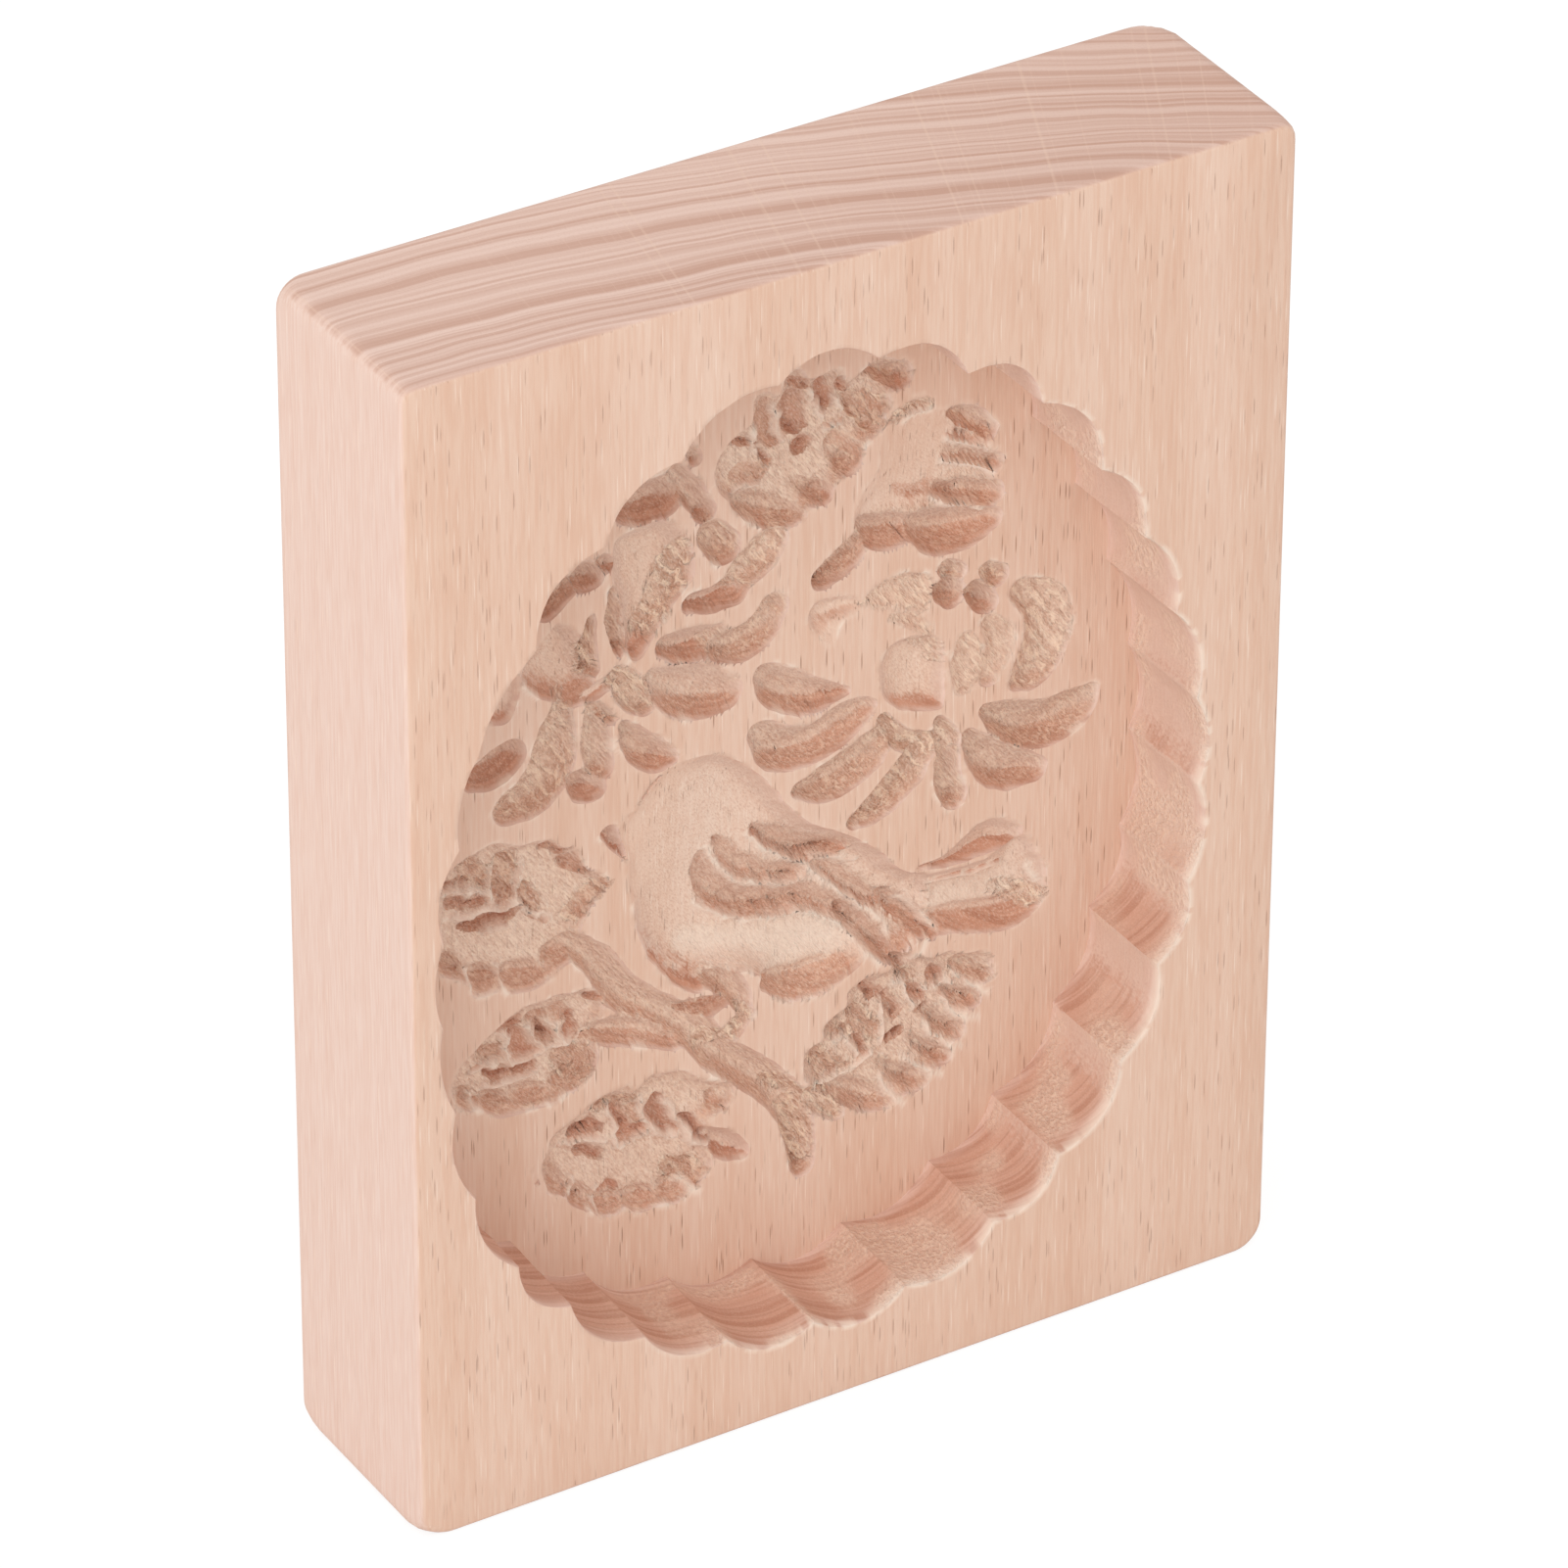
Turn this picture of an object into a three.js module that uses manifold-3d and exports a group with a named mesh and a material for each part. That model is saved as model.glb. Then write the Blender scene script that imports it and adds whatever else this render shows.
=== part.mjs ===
// Cookie mould: one upright beech board with a deep scalloped oval recess in its
// front face. The floor of the recess carries the picture as gouge cuts: a bird
// on a branch, two flowers, a bud and five lobed leaves. Dough pressed into the
// recess takes the picture in relief.
// Millimetres. X is to the right, Z up along the grain, and the front faces -Y.
import * as THREE from 'three';
import { mergeVertices } from 'three/addons/utils/BufferGeometryUtils.js';
import Module from 'manifold-3d';

// Board
const BOARD_HEIGHT = 120;
const BOARD_WIDTH = 90;
const BOARD_THICKNESS = 22;
const CORNER_RADIUS = 2.2;
const EDGE_EASE = 0.7;

// Rims left round the recess, from the board's edges to its widest scallops
const RIM_LEFT = 2.1;
const RIM_RIGHT = 7.7;
const RIM_TOP = 8.6;
const RIM_BOTTOM = 7.3;

// Recess: straight walls stabbed with one curved gouge, so the outline is a row
// of scallops that meet in sharp inner cusps. They were spaced by eye, and those
// halfway up the sides sit lower than an even spacing would put them.
const RECESS_DEPTH = 11.2;
const SCALLOP_COUNT = 29;
const SCALLOP_RISE = 1.6;
const SCALLOP_SINK = 1.9;
const EGG_TAPER = 0.105;
const POINTS_PER_SCALLOP = 6;

// Depths of the picture below the recess floor
const PETAL_DEPTH = 2.4;
const SEED_DEPTH = 1.8;
const SEED_STRETCH = 0.3;
const STEM_DEPTH = 1.7;
const LEAF_DEPTH = 2.0;
const BODY_DEPTH = 3.4;
const FEATHER_DEPTH = 4.1;
const TAIL_DEPTH = 2.9;
const LEG_DEPTH = 1.7;

// The picture is laid out on its own centre and scaled with the recess
const LAYOUT_CENTRE = [-5.1, 62.15];
const LAYOUT_HALF_WIDTH = 39.8;
const LAYOUT_HALF_HEIGHT = 51.8;

// Gouge cuts: facets across and along, the hollow's roundness, how fast a narrow
// stretch gets shallow, the rings of a round end, and the cutter's rise above the floor
const SECTION_STEPS = 4;
const SPINE_STEPS = 2;
const SECTION_POWER = 0.75;
const NARROW_POWER = 0.6;
const END_RINGS = [0.55, 0.92];
const CUTTER_RISE = 0.6;

// Petals, as shares of their own half width, and leaves
const PETAL_ROOT = 0.5;
const PETAL_TIP = 0.8;
const RIB_HALF_WIDTH = 0.3;
const LOBE_OVERLAP = 0.62;
const LOBE_LEAN = 0.45;
const LOBE_SHORTEST = 0.55;

const recessLeft = -BOARD_WIDTH / 2 + RIM_LEFT;
const recessRight = BOARD_WIDTH / 2 - RIM_RIGHT;
const recessBottom = RIM_BOTTOM;
const recessTop = BOARD_HEIGHT - RIM_TOP;
const centreX = (recessLeft + recessRight) / 2;
const centreZ = (recessBottom + recessTop) / 2;
const halfWidth = (recessRight - recessLeft) / 2;
const halfHeight = (recessTop - recessBottom) / 2;
const scaleX = halfWidth / LAYOUT_HALF_WIDTH;
const scaleZ = halfHeight / LAYOUT_HALF_HEIGHT;
const scaleCut = (scaleX + scaleZ) / 2;
const frontY = -BOARD_THICKNESS / 2;
const floorY = frontY + RECESS_DEPTH;

const wasm = await Module();
wasm.setup();

function toSolid(geometry) {
  geometry.deleteAttribute('normal');
  geometry.deleteAttribute('uv');
  const merged = mergeVertices(geometry, 1e-4);
  return new wasm.Manifold(new wasm.Mesh({
    numProp: 3,
    vertProperties: new Float32Array(merged.attributes.position.array),
    triVerts: new Uint32Array(merged.index.array),
  }));
}

function toGeometry(solid) {
  const mesh = solid.getMesh();
  const geometry = new THREE.BufferGeometry();
  geometry.setAttribute('position', new THREE.BufferAttribute(new Float32Array(mesh.vertProperties), 3));
  geometry.setIndex(new THREE.BufferAttribute(new Uint32Array(mesh.triVerts), 1));
  geometry.computeVertexNormals();
  return geometry;
}

// A closed loft through rings that all have the same number of points
function loft(rings) {
  const count = rings[0].length;
  const positions = [];
  const faces = [];
  for (const ring of rings) {
    for (const point of ring) {
      positions.push(point.x, point.y, point.z);
    }
  }
  for (let i = 0; i + 1 < rings.length; i += 1) {
    for (let k = 0; k < count; k += 1) {
      const a = i * count + k;
      const b = i * count + (k + 1) % count;
      faces.push(a, b, b + count, a, b + count, a + count);
    }
  }
  const last = (rings.length - 1) * count;
  for (let k = 1; k + 1 < count; k += 1) {
    faces.push(0, k + 1, k);
    faces.push(last, last + k, last + k + 1);
  }
  const geometry = new THREE.BufferGeometry();
  geometry.setAttribute('position', new THREE.Float32BufferAttribute(positions, 3));
  geometry.setIndex(faces);
  return geometry;
}

// The egg-shaped oval through the scallops' inner cusps, narrower at the top
const cuspHalfWidth = halfWidth - SCALLOP_RISE;
const cuspHalfHeight = halfHeight - SCALLOP_RISE;

class EggCurve extends THREE.Curve {
  getPoint(t, target = new THREE.Vector3()) {
    const angle = 2 * Math.PI * t - Math.PI / 2;
    const across = cuspHalfWidth * Math.cos(angle) * (1 - EGG_TAPER * Math.sin(angle));
    return target.set(centreX + across, centreZ + cuspHalfHeight * Math.sin(angle), 0);
  }
}

function scallopedOutline() {
  const egg = new EggCurve();
  egg.arcLengthDivisions = 720;
  const length = egg.getLength();
  const points = [];
  const total = SCALLOP_COUNT * POINTS_PER_SCALLOP;
  for (let i = 0; i < total; i += 1) {
    const within = (i % POINTS_PER_SCALLOP) / POINTS_PER_SCALLOP;
    const rise = SCALLOP_RISE * (1 - (2 * within - 1) ** 2);
    const turn = i / total;
    const along = turn - (SCALLOP_SINK / length) * Math.sin(2 * Math.PI * turn);
    const at = THREE.MathUtils.euclideanModulo(along, 1);
    const point = egg.getPointAt(at);
    const tangent = egg.getTangentAt(at);
    points.push(new THREE.Vector2(point.x + tangent.y * rise, point.y - tangent.x * rise));
  }
  return points;
}

// Shapes are drawn in the face's plane and extruded from the back to the front
function extrudeFromBack(shape, depth, backY, bevel) {
  const geometry = new THREE.ExtrudeGeometry(shape, {
    depth: depth - 2 * bevel,
    bevelEnabled: bevel > 0,
    bevelThickness: bevel,
    bevelSize: bevel,
    bevelOffset: -bevel,
    bevelSegments: 2,
    curveSegments: 5,
  });
  geometry.rotateX(Math.PI / 2);
  geometry.translate(0, backY - bevel, 0);
  return geometry;
}

function boardShape() {
  const x = BOARD_WIDTH / 2;
  const r = CORNER_RADIUS;
  const shape = new THREE.Shape();
  shape.moveTo(-x + r, 0);
  shape.lineTo(x - r, 0);
  shape.absarc(x - r, r, r, -Math.PI / 2, 0);
  shape.lineTo(x, BOARD_HEIGHT - r);
  shape.absarc(x - r, BOARD_HEIGHT - r, r, 0, Math.PI / 2);
  shape.lineTo(-x + r, BOARD_HEIGHT);
  shape.absarc(-x + r, BOARD_HEIGHT - r, r, Math.PI / 2, Math.PI);
  shape.lineTo(-x, r);
  shape.absarc(-x + r, r, r, Math.PI, 1.5 * Math.PI);
  return shape;
}

const place = (x, z) => new THREE.Vector3(
  centreX + (x - LAYOUT_CENTRE[0]) * scaleX,
  0,
  centreZ + (z - LAYOUT_CENTRE[1]) * scaleZ,
);

// One gouge cut: a boat-shaped cutter lofted along a spine of [x, z, half width]
// stations, with rounded ends and a depth that follows its width
function gougeCut(stations, depth) {
  const spine = new THREE.CatmullRomCurve3(stations.map(([x, z]) => place(x, z)), false, 'centripetal');
  const widths = stations.map((station) => station[2] * scaleCut);
  const widest = Math.max(...widths);
  const length = spine.getLength();
  const spans = (stations.length - 1) * SPINE_STEPS;
  const marks = END_RINGS.map((out) => [-out * widths[0], Math.sqrt(1 - out * out)]).reverse();
  for (let i = 0; i <= spans; i += 1) {
    marks.push([(i / spans) * length, 1]);
  }
  for (const out of END_RINGS) {
    marks.push([length + out * widths[widths.length - 1], Math.sqrt(1 - out * out)]);
  }
  const rings = marks.map(([distance, taper]) => {
    const u = Math.min(Math.max(distance / length, 0), 1);
    const point = spine.getPointAt(u);
    const tangent = spine.getTangentAt(u);
    point.addScaledVector(tangent, distance - u * length);
    const at = spine.getUtoTmapping(u) * (stations.length - 1);
    const before = Math.min(Math.floor(at), stations.length - 2);
    const width = THREE.MathUtils.lerp(widths[before], widths[before + 1], at - before) * taper;
    const deep = depth * (width / widest) ** NARROW_POWER;
    const ring = [];
    for (let k = 0; k <= SECTION_STEPS; k += 1) {
      const s = -1 + (2 * k) / SECTION_STEPS;
      const drop = deep * (1 - s * s) ** SECTION_POWER;
      ring.push(new THREE.Vector3(
        point.x - tangent.z * s * width, floorY + drop, point.z + tangent.x * s * width));
    }
    for (const side of [1, -1]) {
      ring.push(new THREE.Vector3(
        point.x - tangent.z * side * width, floorY - CUTTER_RISE, point.z + tangent.x * side * width));
    }
    return ring;
  });
  return loft(rings);
}

// A petal from root to tip: [rootX, rootZ, tipX, tipZ, half width, sag], where sag
// bends the spine to the left of its direction
function petalStations([rootX, rootZ, tipX, tipZ, width, sag]) {
  const length = Math.hypot(tipX - rootX, tipZ - rootZ);
  const left = [-(tipZ - rootZ) / length, (tipX - rootX) / length];
  const along = (t, w) => {
    const bow = 4 * sag * t * (1 - t);
    return [rootX + (tipX - rootX) * t + left[0] * bow, rootZ + (tipZ - rootZ) * t + left[1] * bow, w];
  };
  const rootWidth = PETAL_ROOT * width;
  const tipWidth = PETAL_TIP * width;
  const start = rootWidth / length;
  const end = 1 - tipWidth / length;
  return [along(start, rootWidth), along((start + end) / 2, width), along(end, tipWidth)];
}

// A lobed leaf: pairs of short overlapping cuts that leave the midrib standing
// between them, and one long scoop that joins the lower lobes. reach is the
// length of the longest lobe above and below the rib, and bow lifts its middle.
function leafCuts({ base, tip, bow, reach, lobes }) {
  const cuts = [];
  const length = Math.hypot(tip[0] - base[0], tip[1] - base[1]);
  const along = [(tip[0] - base[0]) / length, (tip[1] - base[1]) / length];
  const turn = along[0] > 0 ? 1 : -1;
  const up = [-along[1] * turn, along[0] * turn];
  const width = (LOBE_OVERLAP * length) / (lobes + 1);
  for (const side of [1, -1]) {
    const longest = side > 0 ? reach[0] : reach[1];
    for (let i = 0; i < lobes; i += 1) {
      const t = (i + 0.6) / lobes;
      const size = longest * (LOBE_SHORTEST + (1 - LOBE_SHORTEST) * Math.sin(Math.PI * t));
      const out = 4 * bow * t * (1 - t) + side * (RIB_HALF_WIDTH + width);
      const run = size - width;
      const root = [0, 1].map((c) => base[c] + along[c] * length * t + up[c] * out);
      const end = [0, 1].map((c) => root[c] + (side * up[c] + along[c] * LOBE_LEAN) * run);
      cuts.push([[...root, width], [...end, PETAL_TIP * width]]);
    }
  }
  const half = reach[1] / 2;
  cuts.push([[0.1, 0.5], [0.5, 0.8], [0.9, 0.5]].map(([t, share]) => {
    const out = 4 * bow * t * (1 - t) - half;
    const point = [0, 1].map((c) => base[c] + along[c] * length * t + up[c] * out);
    return [...point, half * share];
  }));
  return cuts;
}

const LEFT_FLOWER = [
  [-18.3, 81.3, -16.3, 94, 3.8, -1.2],
  [-22.6, 79.8, -25.8, 88, 3.0, 0.9],
  [-20.3, 81.6, -20.5, 88.6, 1.2, 0],
  [-29.2, 82.8, -31.8, 79, 1.5, 0],
  [-29.8, 74.8, -34.8, 72.8, 1.7, 0],
  [-25.2, 78.3, -31.5, 68.6, 2.5, 1.6],
  [-21.8, 76.3, -22.9, 67.9, 2.1, 0.4],
  [-19, 75.8, -14, 68.9, 1.4, -0.6],
  [-19.8, 80, -16.6, 75.7, 1.5, 0.3],
  [-16.2, 79, -7.3, 73.8, 2.1, -0.8],
  [-15.3, 80.7, -2.5, 81.8, 2.0, -1.6],
  [-12.9, 84.7, -3.2, 89.2, 1.8, -1.6],
];

const RIGHT_FLOWER = [
  [3.8, 70.6, -5.4, 75.2, 1.9, 0.7],
  [6.3, 68, -6.2, 69.5, 2.1, 2.3],
  [8.6, 65, -1.8, 61.8, 2.0, 0.9],
  [11.8, 62.3, 4, 56.4, 1.6, 0.6],
  [15.2, 60.8, 16, 54.4, 1.7, -0.8],
  [16.4, 61.6, 24.7, 55.1, 2.0, -1.2],
  [18.2, 63.9, 30, 62.6, 2.2, -2.9],
  [21.3, 65, 21.5, 76, 2.5, -3.2],
  [17.8, 66.3, 18, 73.3, 1.7, -1.5],
  [11.7, 65.8, 10.4, 74, 3.3, 0.3],
  [15.6, 66.2, 15.8, 72.5, 1.6, 0],
  [5.3, 79.3, 0, 78.9, 1.3, -0.3],
  [12.2, 77, 5.8, 80, 1.4, -1.2],
  [11.6, 74.6, 5.5, 77.5, 1.0, -0.7],
];

const BUD = [
  [5, 85.4, 0.6, 82.6, 1.6, 0],
  [6, 87, 11, 97, 3.2, 0.4],
  [12.8, 95, 18.4, 92.4, 1.2, 0.3],
  [13, 91.4, 19.3, 88.9, 1.0, 0.3],
  [12.5, 88.2, 19.7, 86, 1.5, 0],
  [5, 86.5, 10.3, 84.4, 1.1, -0.5],
  [10, 85.5, 19.2, 82.9, 1.6, -0.9],
];

const SHOOTS = [
  [-13.8, 97, -19.9, 95.5, 2.0, -0.7],
  [-12.5, 100, -10.8, 92.2, 1.0, 0],
  [-10.9, 92.6, -9.8, 88.2, 1.6, 0],
  [-11.6, 28, -5.4, 24.8, 1.6, -0.4],
];

const SEEDS = [
  [-25.5, 89.3, 1.7], [-22.5, 90.8, 1.6], [14.6, 79.2, 1.3], [13.9, 76.9, 1.4], [18.6, 78.2, 1.2],
  [17.5, 75.3, 1.5],
];

const BRANCH = [
  [-25, 53.6, 1.1], [-19.5, 46.8, 1.4], [-9.5, 36.2, 1.5], [-3.3, 29.8, 1.7], [-0.9, 20.6, 1.4],
];
const TWIG = [[-23.3, 43.2, 0.9], [-18.5, 42, 1.2], [-13.5, 39, 1.0]];

const LEAVES = [
  { base: [-25.2, 55.4], tip: [-38.4, 60.6], bow: 1, reach: [7.0, 6.4], lobes: 4 },
  { base: [-22.3, 44], tip: [-36.4, 42.6], bow: -0.3, reach: [5.0, 4.6], lobes: 4 },
  { base: [-10.8, 28.6], tip: [-28.6, 30.8], bow: 0.2, reach: [6.4, 6.0], lobes: 5 },
  { base: [0.8, 29.2], tip: [17.6, 36.8], bow: 0.4, reach: [5.2, 5.4], lobes: 5 },
  { base: [-9.6, 93.8], tip: [8.6, 102], bow: -0.4, reach: [5.6, 4.4], lobes: 5 },
];

const BIRD_BODY = [
  [-12.2, 64.1, 4.2], [-11.6, 58.5, 7.0], [-9.6, 52, 7.4], [-5, 47.4, 5.2], [0.5, 43.4, 3.4],
];
const BIRD_BACK = [[-7.2, 60.6, 3.0], [-2.2, 56.4, 3.4], [3.4, 52.2, 3.1], [9.4, 46.6, 2.4]];
const BIRD_BEAK = [[-18.2, 63.4, 1.4], [-20.9, 63.6, 0.5]];
const BIRD_FEATHERS = [
  [[-11.8, 55.6, 0.9], [-8.5, 51.9, 1.3], [-1.5, 49.4, 1.1], [5, 44.5, 1.2], [8.4, 41.6, 1.0]],
  [[-9, 56.2, 0.8], [-6, 54, 1.1], [-2.4, 52.7, 0.8]],
  [[-4.9, 57.8, 0.8], [-1.8, 55.1, 1.2], [2.4, 53.8, 0.9]],
  [[1.4, 51.8, 0.8], [5, 48, 1.2], [10.4, 42.7, 0.9]],
  [[7, 48.6, 0.8], [10.2, 45.2, 1.0], [14, 41.7, 0.6]],
];
const BIRD_TAIL = [
  [[12, 49.1, 0.5], [16, 49.3, 1.1], [20.2, 49.9, 1.6]],
  [[13.6, 46, 1.8], [18, 44.4, 3.3], [22.4, 43.2, 3.0]],
];
const BIRD_LEGS = [
  [[-8.4, 44.4, 1.2], [-6.6, 41.8, 1.2], [-5.6, 38.8, 1.0]],
  [[-13.3, 43, 1.0], [-9.4, 41.6, 1.0]],
];

const cutters = [];
for (const petal of [...LEFT_FLOWER, ...RIGHT_FLOWER, ...BUD]) {
  cutters.push(gougeCut(petalStations(petal), PETAL_DEPTH));
}
for (const shoot of SHOOTS) {
  cutters.push(gougeCut(petalStations(shoot), STEM_DEPTH));
}
for (const [x, z, radius] of SEEDS) {
  cutters.push(gougeCut([[x, z, radius], [x, z + SEED_STRETCH, radius]], SEED_DEPTH));
}
cutters.push(gougeCut(BRANCH, STEM_DEPTH), gougeCut(TWIG, STEM_DEPTH));
for (const leaf of LEAVES) {
  for (const lobe of leafCuts(leaf)) {
    cutters.push(gougeCut(lobe, LEAF_DEPTH));
  }
}
cutters.push(gougeCut(BIRD_BODY, BODY_DEPTH), gougeCut(BIRD_BACK, BODY_DEPTH));
cutters.push(gougeCut(BIRD_BEAK, LEG_DEPTH));
for (const feather of BIRD_FEATHERS) {
  cutters.push(gougeCut(feather, FEATHER_DEPTH));
}
for (const feather of BIRD_TAIL) {
  cutters.push(gougeCut(feather, TAIL_DEPTH));
}
for (const leg of BIRD_LEGS) {
  cutters.push(gougeCut(leg, LEG_DEPTH));
}

const board = toSolid(extrudeFromBack(boardShape(), BOARD_THICKNESS, BOARD_THICKNESS / 2, EDGE_EASE));
const recess = toSolid(extrudeFromBack(
  new THREE.Shape(scallopedOutline()), RECESS_DEPTH + CUTTER_RISE, floorY, 0));
let mould = board.subtract(recess);
for (const cutter of cutters) {
  mould = mould.subtract(toSolid(cutter));
}

const beech = new THREE.MeshStandardMaterial({ color: 0xe6c6ad, roughness: 0.72, metalness: 0 });
const block = new THREE.Mesh(toGeometry(mould), beech);
block.name = 'mould_block';

const group = new THREE.Group();
group.add(block);
export default group;
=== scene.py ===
"""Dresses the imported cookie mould: one carved beech board, its wood, and a plain pale stage.

It runs as a script inside Blender. The carving functions work in millimetres, and the
finished mesh is in metres in the frame's own axes: X right, Z up, front face towards -Y.
"""

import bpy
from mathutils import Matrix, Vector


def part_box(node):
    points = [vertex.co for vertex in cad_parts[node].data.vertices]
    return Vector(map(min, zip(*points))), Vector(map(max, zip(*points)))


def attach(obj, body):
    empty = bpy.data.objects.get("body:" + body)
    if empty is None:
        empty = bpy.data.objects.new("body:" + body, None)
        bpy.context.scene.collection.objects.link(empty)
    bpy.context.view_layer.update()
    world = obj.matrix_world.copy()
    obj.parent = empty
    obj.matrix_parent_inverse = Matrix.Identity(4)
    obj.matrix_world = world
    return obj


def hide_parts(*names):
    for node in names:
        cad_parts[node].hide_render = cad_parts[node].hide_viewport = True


bl_info = {
    "name": "Cookie Mould",
    "version": (1, 0, 0),
    "blender": (4, 5, 0),
    "location": "View3D > Sidebar > Cookie Mould",
    "description": "Carves a beech cookie mould over its packed frame and sets a plain stage",
    "category": "Object",
}

import copy
import math

import bmesh
import bpy
import numpy as np
from mathutils import Matrix, Vector

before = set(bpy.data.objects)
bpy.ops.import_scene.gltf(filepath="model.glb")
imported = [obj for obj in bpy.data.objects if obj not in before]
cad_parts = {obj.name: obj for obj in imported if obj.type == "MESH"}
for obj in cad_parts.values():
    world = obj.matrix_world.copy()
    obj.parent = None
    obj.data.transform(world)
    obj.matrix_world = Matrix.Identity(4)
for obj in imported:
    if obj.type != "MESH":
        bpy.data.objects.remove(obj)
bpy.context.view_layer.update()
NODE = "mould_block"
LOW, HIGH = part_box(NODE)
MM = 1000.0

# Board, from the frame
WIDTH = (HIGH.x - LOW.x) * MM
HEIGHT = (HIGH.z - LOW.z) * MM
FRONT = LOW.y * MM
BACK = HIGH.y * MM

# Corner radii as seen from the front: bottom right, top right, top left, bottom left
SIDE_CORNERS = (1.1, 1.1, 1.1, 1.1)
FRONT_CORNERS = (3.3, 1.9, 1.4, 3.8)
BACK_CORNERS = (2.8, 4.0, 3.0, 2.6)

# How far from a face its corner radii reach, how far from it the sides have loops of edges,
# how far in from its rim the back has one, and from which angle an edge counts as sharp
CORNER_REACH = 3.0
SIDE_LOOPS = (0.9, 1.6, CORNER_REACH)
BACK_INSET = 2.5
SHARP_ANGLE = math.radians(50)

# The floor's outline lies this far inside the rim's, so that the wall leans a little
DRAFT = 0.25

# Rims round the recess
RIM_LEFT = 2.1
RIM_RIGHT = 7.7
RIM_TOP = 8.6
RIM_BOTTOM = 7.3

# Scallops. Each cusp is where the carver struck it, from the bottom one round to the right.
# Each rise is how far the scallop after that cusp swells beyond its chord.
CUSPS = (
    (-3.9, 9.2), (5.8, 9.7), (15.3, 13.3), (22.2, 18.3), (28.8, 26.3), (32.5, 35.6), (35.6, 43.6),
    (36.4, 53.9), (36.1, 63.1), (33.6, 72.9), (30.1, 82.0), (25.4, 90.4), (19.1, 99.2), (11.3, 104.6),
    (2.2, 108.9), (-8.0, 109.3), (-17.6, 104.8), (-25.2, 98.6), (-32.2, 90.2), (-38.0, 81.5), (-40.0, 72.5),
    (-41.7, 63.3), (-41.9, 54.5), (-40.7, 45.1), (-38.9, 35.5), (-34.6, 26.5), (-29.3, 20.4), (-21.7, 14.2),
    (-13.0, 10.5))
RISES = (2.1, 2.1, 1.8, 1.9, 1.6, 1.5, 1.3, 1.2, 1.4, 1.5, 1.7, 2.1, 2.2, 2.1, 2.1, 1.7, 1.7, 2.2, 0.9, 0.8,
         1.2, 0.8, 0.8, 1.2, 1.4, 1.6, 1.8, 1.7, 1.8)
SCALLOPS = len(CUSPS)

# The oval that the picture's strokes are laid out in, and how far off a point counts as clear
# of every cut
LAYOUT_CENTRE = (-5.1, 62.15)
LAYOUT_HALF = (39.8, 51.8)
FAR = 9.0

# Mesh rings: recess floor, wall, and border out to the board's edge. Beside each corner of
# the grid, WEDGE columns take up the points that wider rings add.
FLOOR_RINGS = 128
WALL_RINGS = 9
BORDER_RINGS = 4
WEDGE = 6

# The recess outline is about this long
OUTLINE_LENGTH = 290.0

# From this share of the way out, the floor's rings swell from the oval into the scallops.
# The wall ends this far below the face, where its edge is broken, and the face's second ring
# of points lies this far out from it.
SWELL_FROM = 0.86
BROKEN_EDGE = 0.14
LIP = 0.6

# Points of the floor this near a rim, valley or crest are drawn onto it, at most this far
DRAW_REACH = 0.22
DRAW_MOST = 0.15

# Unevenness in millimetres: ripple and grain where the wood is torn, the softness of every
# cut, the slow wander of the whole floor, and the waver of the wall
RIPPLE = 0.34
GRAIN = 0.16
SOFTNESS = 0.14
WANDER = 0.16
WAVER = 0.2

# Camera, fitted to the board's outline
FOCAL_MM = 252.05
CAMERA_AZIMUTH = 31.4058
CAMERA_ELEVATION = 32.9213
CAMERA_ROLL = 0.2062
CAMERA_DISTANCE = 0.97820
CAMERA_TARGET = (-0.00060, 0.0, 0.06016)

# Wood: the growth rings' centre lies this far to the left and in front, in millimetres, and
# torn grain leans by this angle
PITH = (45.0, 160.0)
GOUGE_LEAN = -0.6
WHITE = (1.0, 1.0, 1.0)

# The floor's half width in metres. The camera sees it as this glow, mixed by this share with
# its matt colour.
FLOOR_HALF = 1.5
FLOOR_GLOW = 1.12
FLOOR_GLOW_SHARE = 0.75


def distance(name, description, default, least, most):
    return bpy.props.FloatProperty(name=name, description=description, default=default, min=least, max=most,
                                   subtype='DISTANCE', unit='LENGTH')


def factor(name, description, least, most):
    return bpy.props.FloatProperty(name=name, description=description, default=1.0, min=least, max=most,
                                   subtype='FACTOR')


def tone(name, description, default):
    return bpy.props.FloatVectorProperty(name=name, description=description, default=default, size=3,
                                         min=0.0, max=1.0, subtype='COLOR')


def amount(name, description, default, most, unit='NONE'):
    return bpy.props.FloatProperty(name=name, description=description, default=default, min=0.0, max=most,
                                   unit=unit)


class MouldSizes(bpy.types.PropertyGroup):
    recess_depth: distance("Recess depth", "From the front face to the recess floor", 0.0112, 0.004, 0.018)
    edge_ease: distance("Edge ease", "How far the long edges are sanded round", 0.0005, 0.0001, 0.002)
    scallop_rise: factor("Scallop rise", "How far the scallops swell, against the rise as cut", 0.2, 1.6)
    carving: factor("Carving depth", "Depth of the picture against the depth as carved", 0.2, 1.5)
    roughness: factor("Torn grain", "How rough the gouge leaves the cuts across the grain", 0.0, 2.0)


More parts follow.
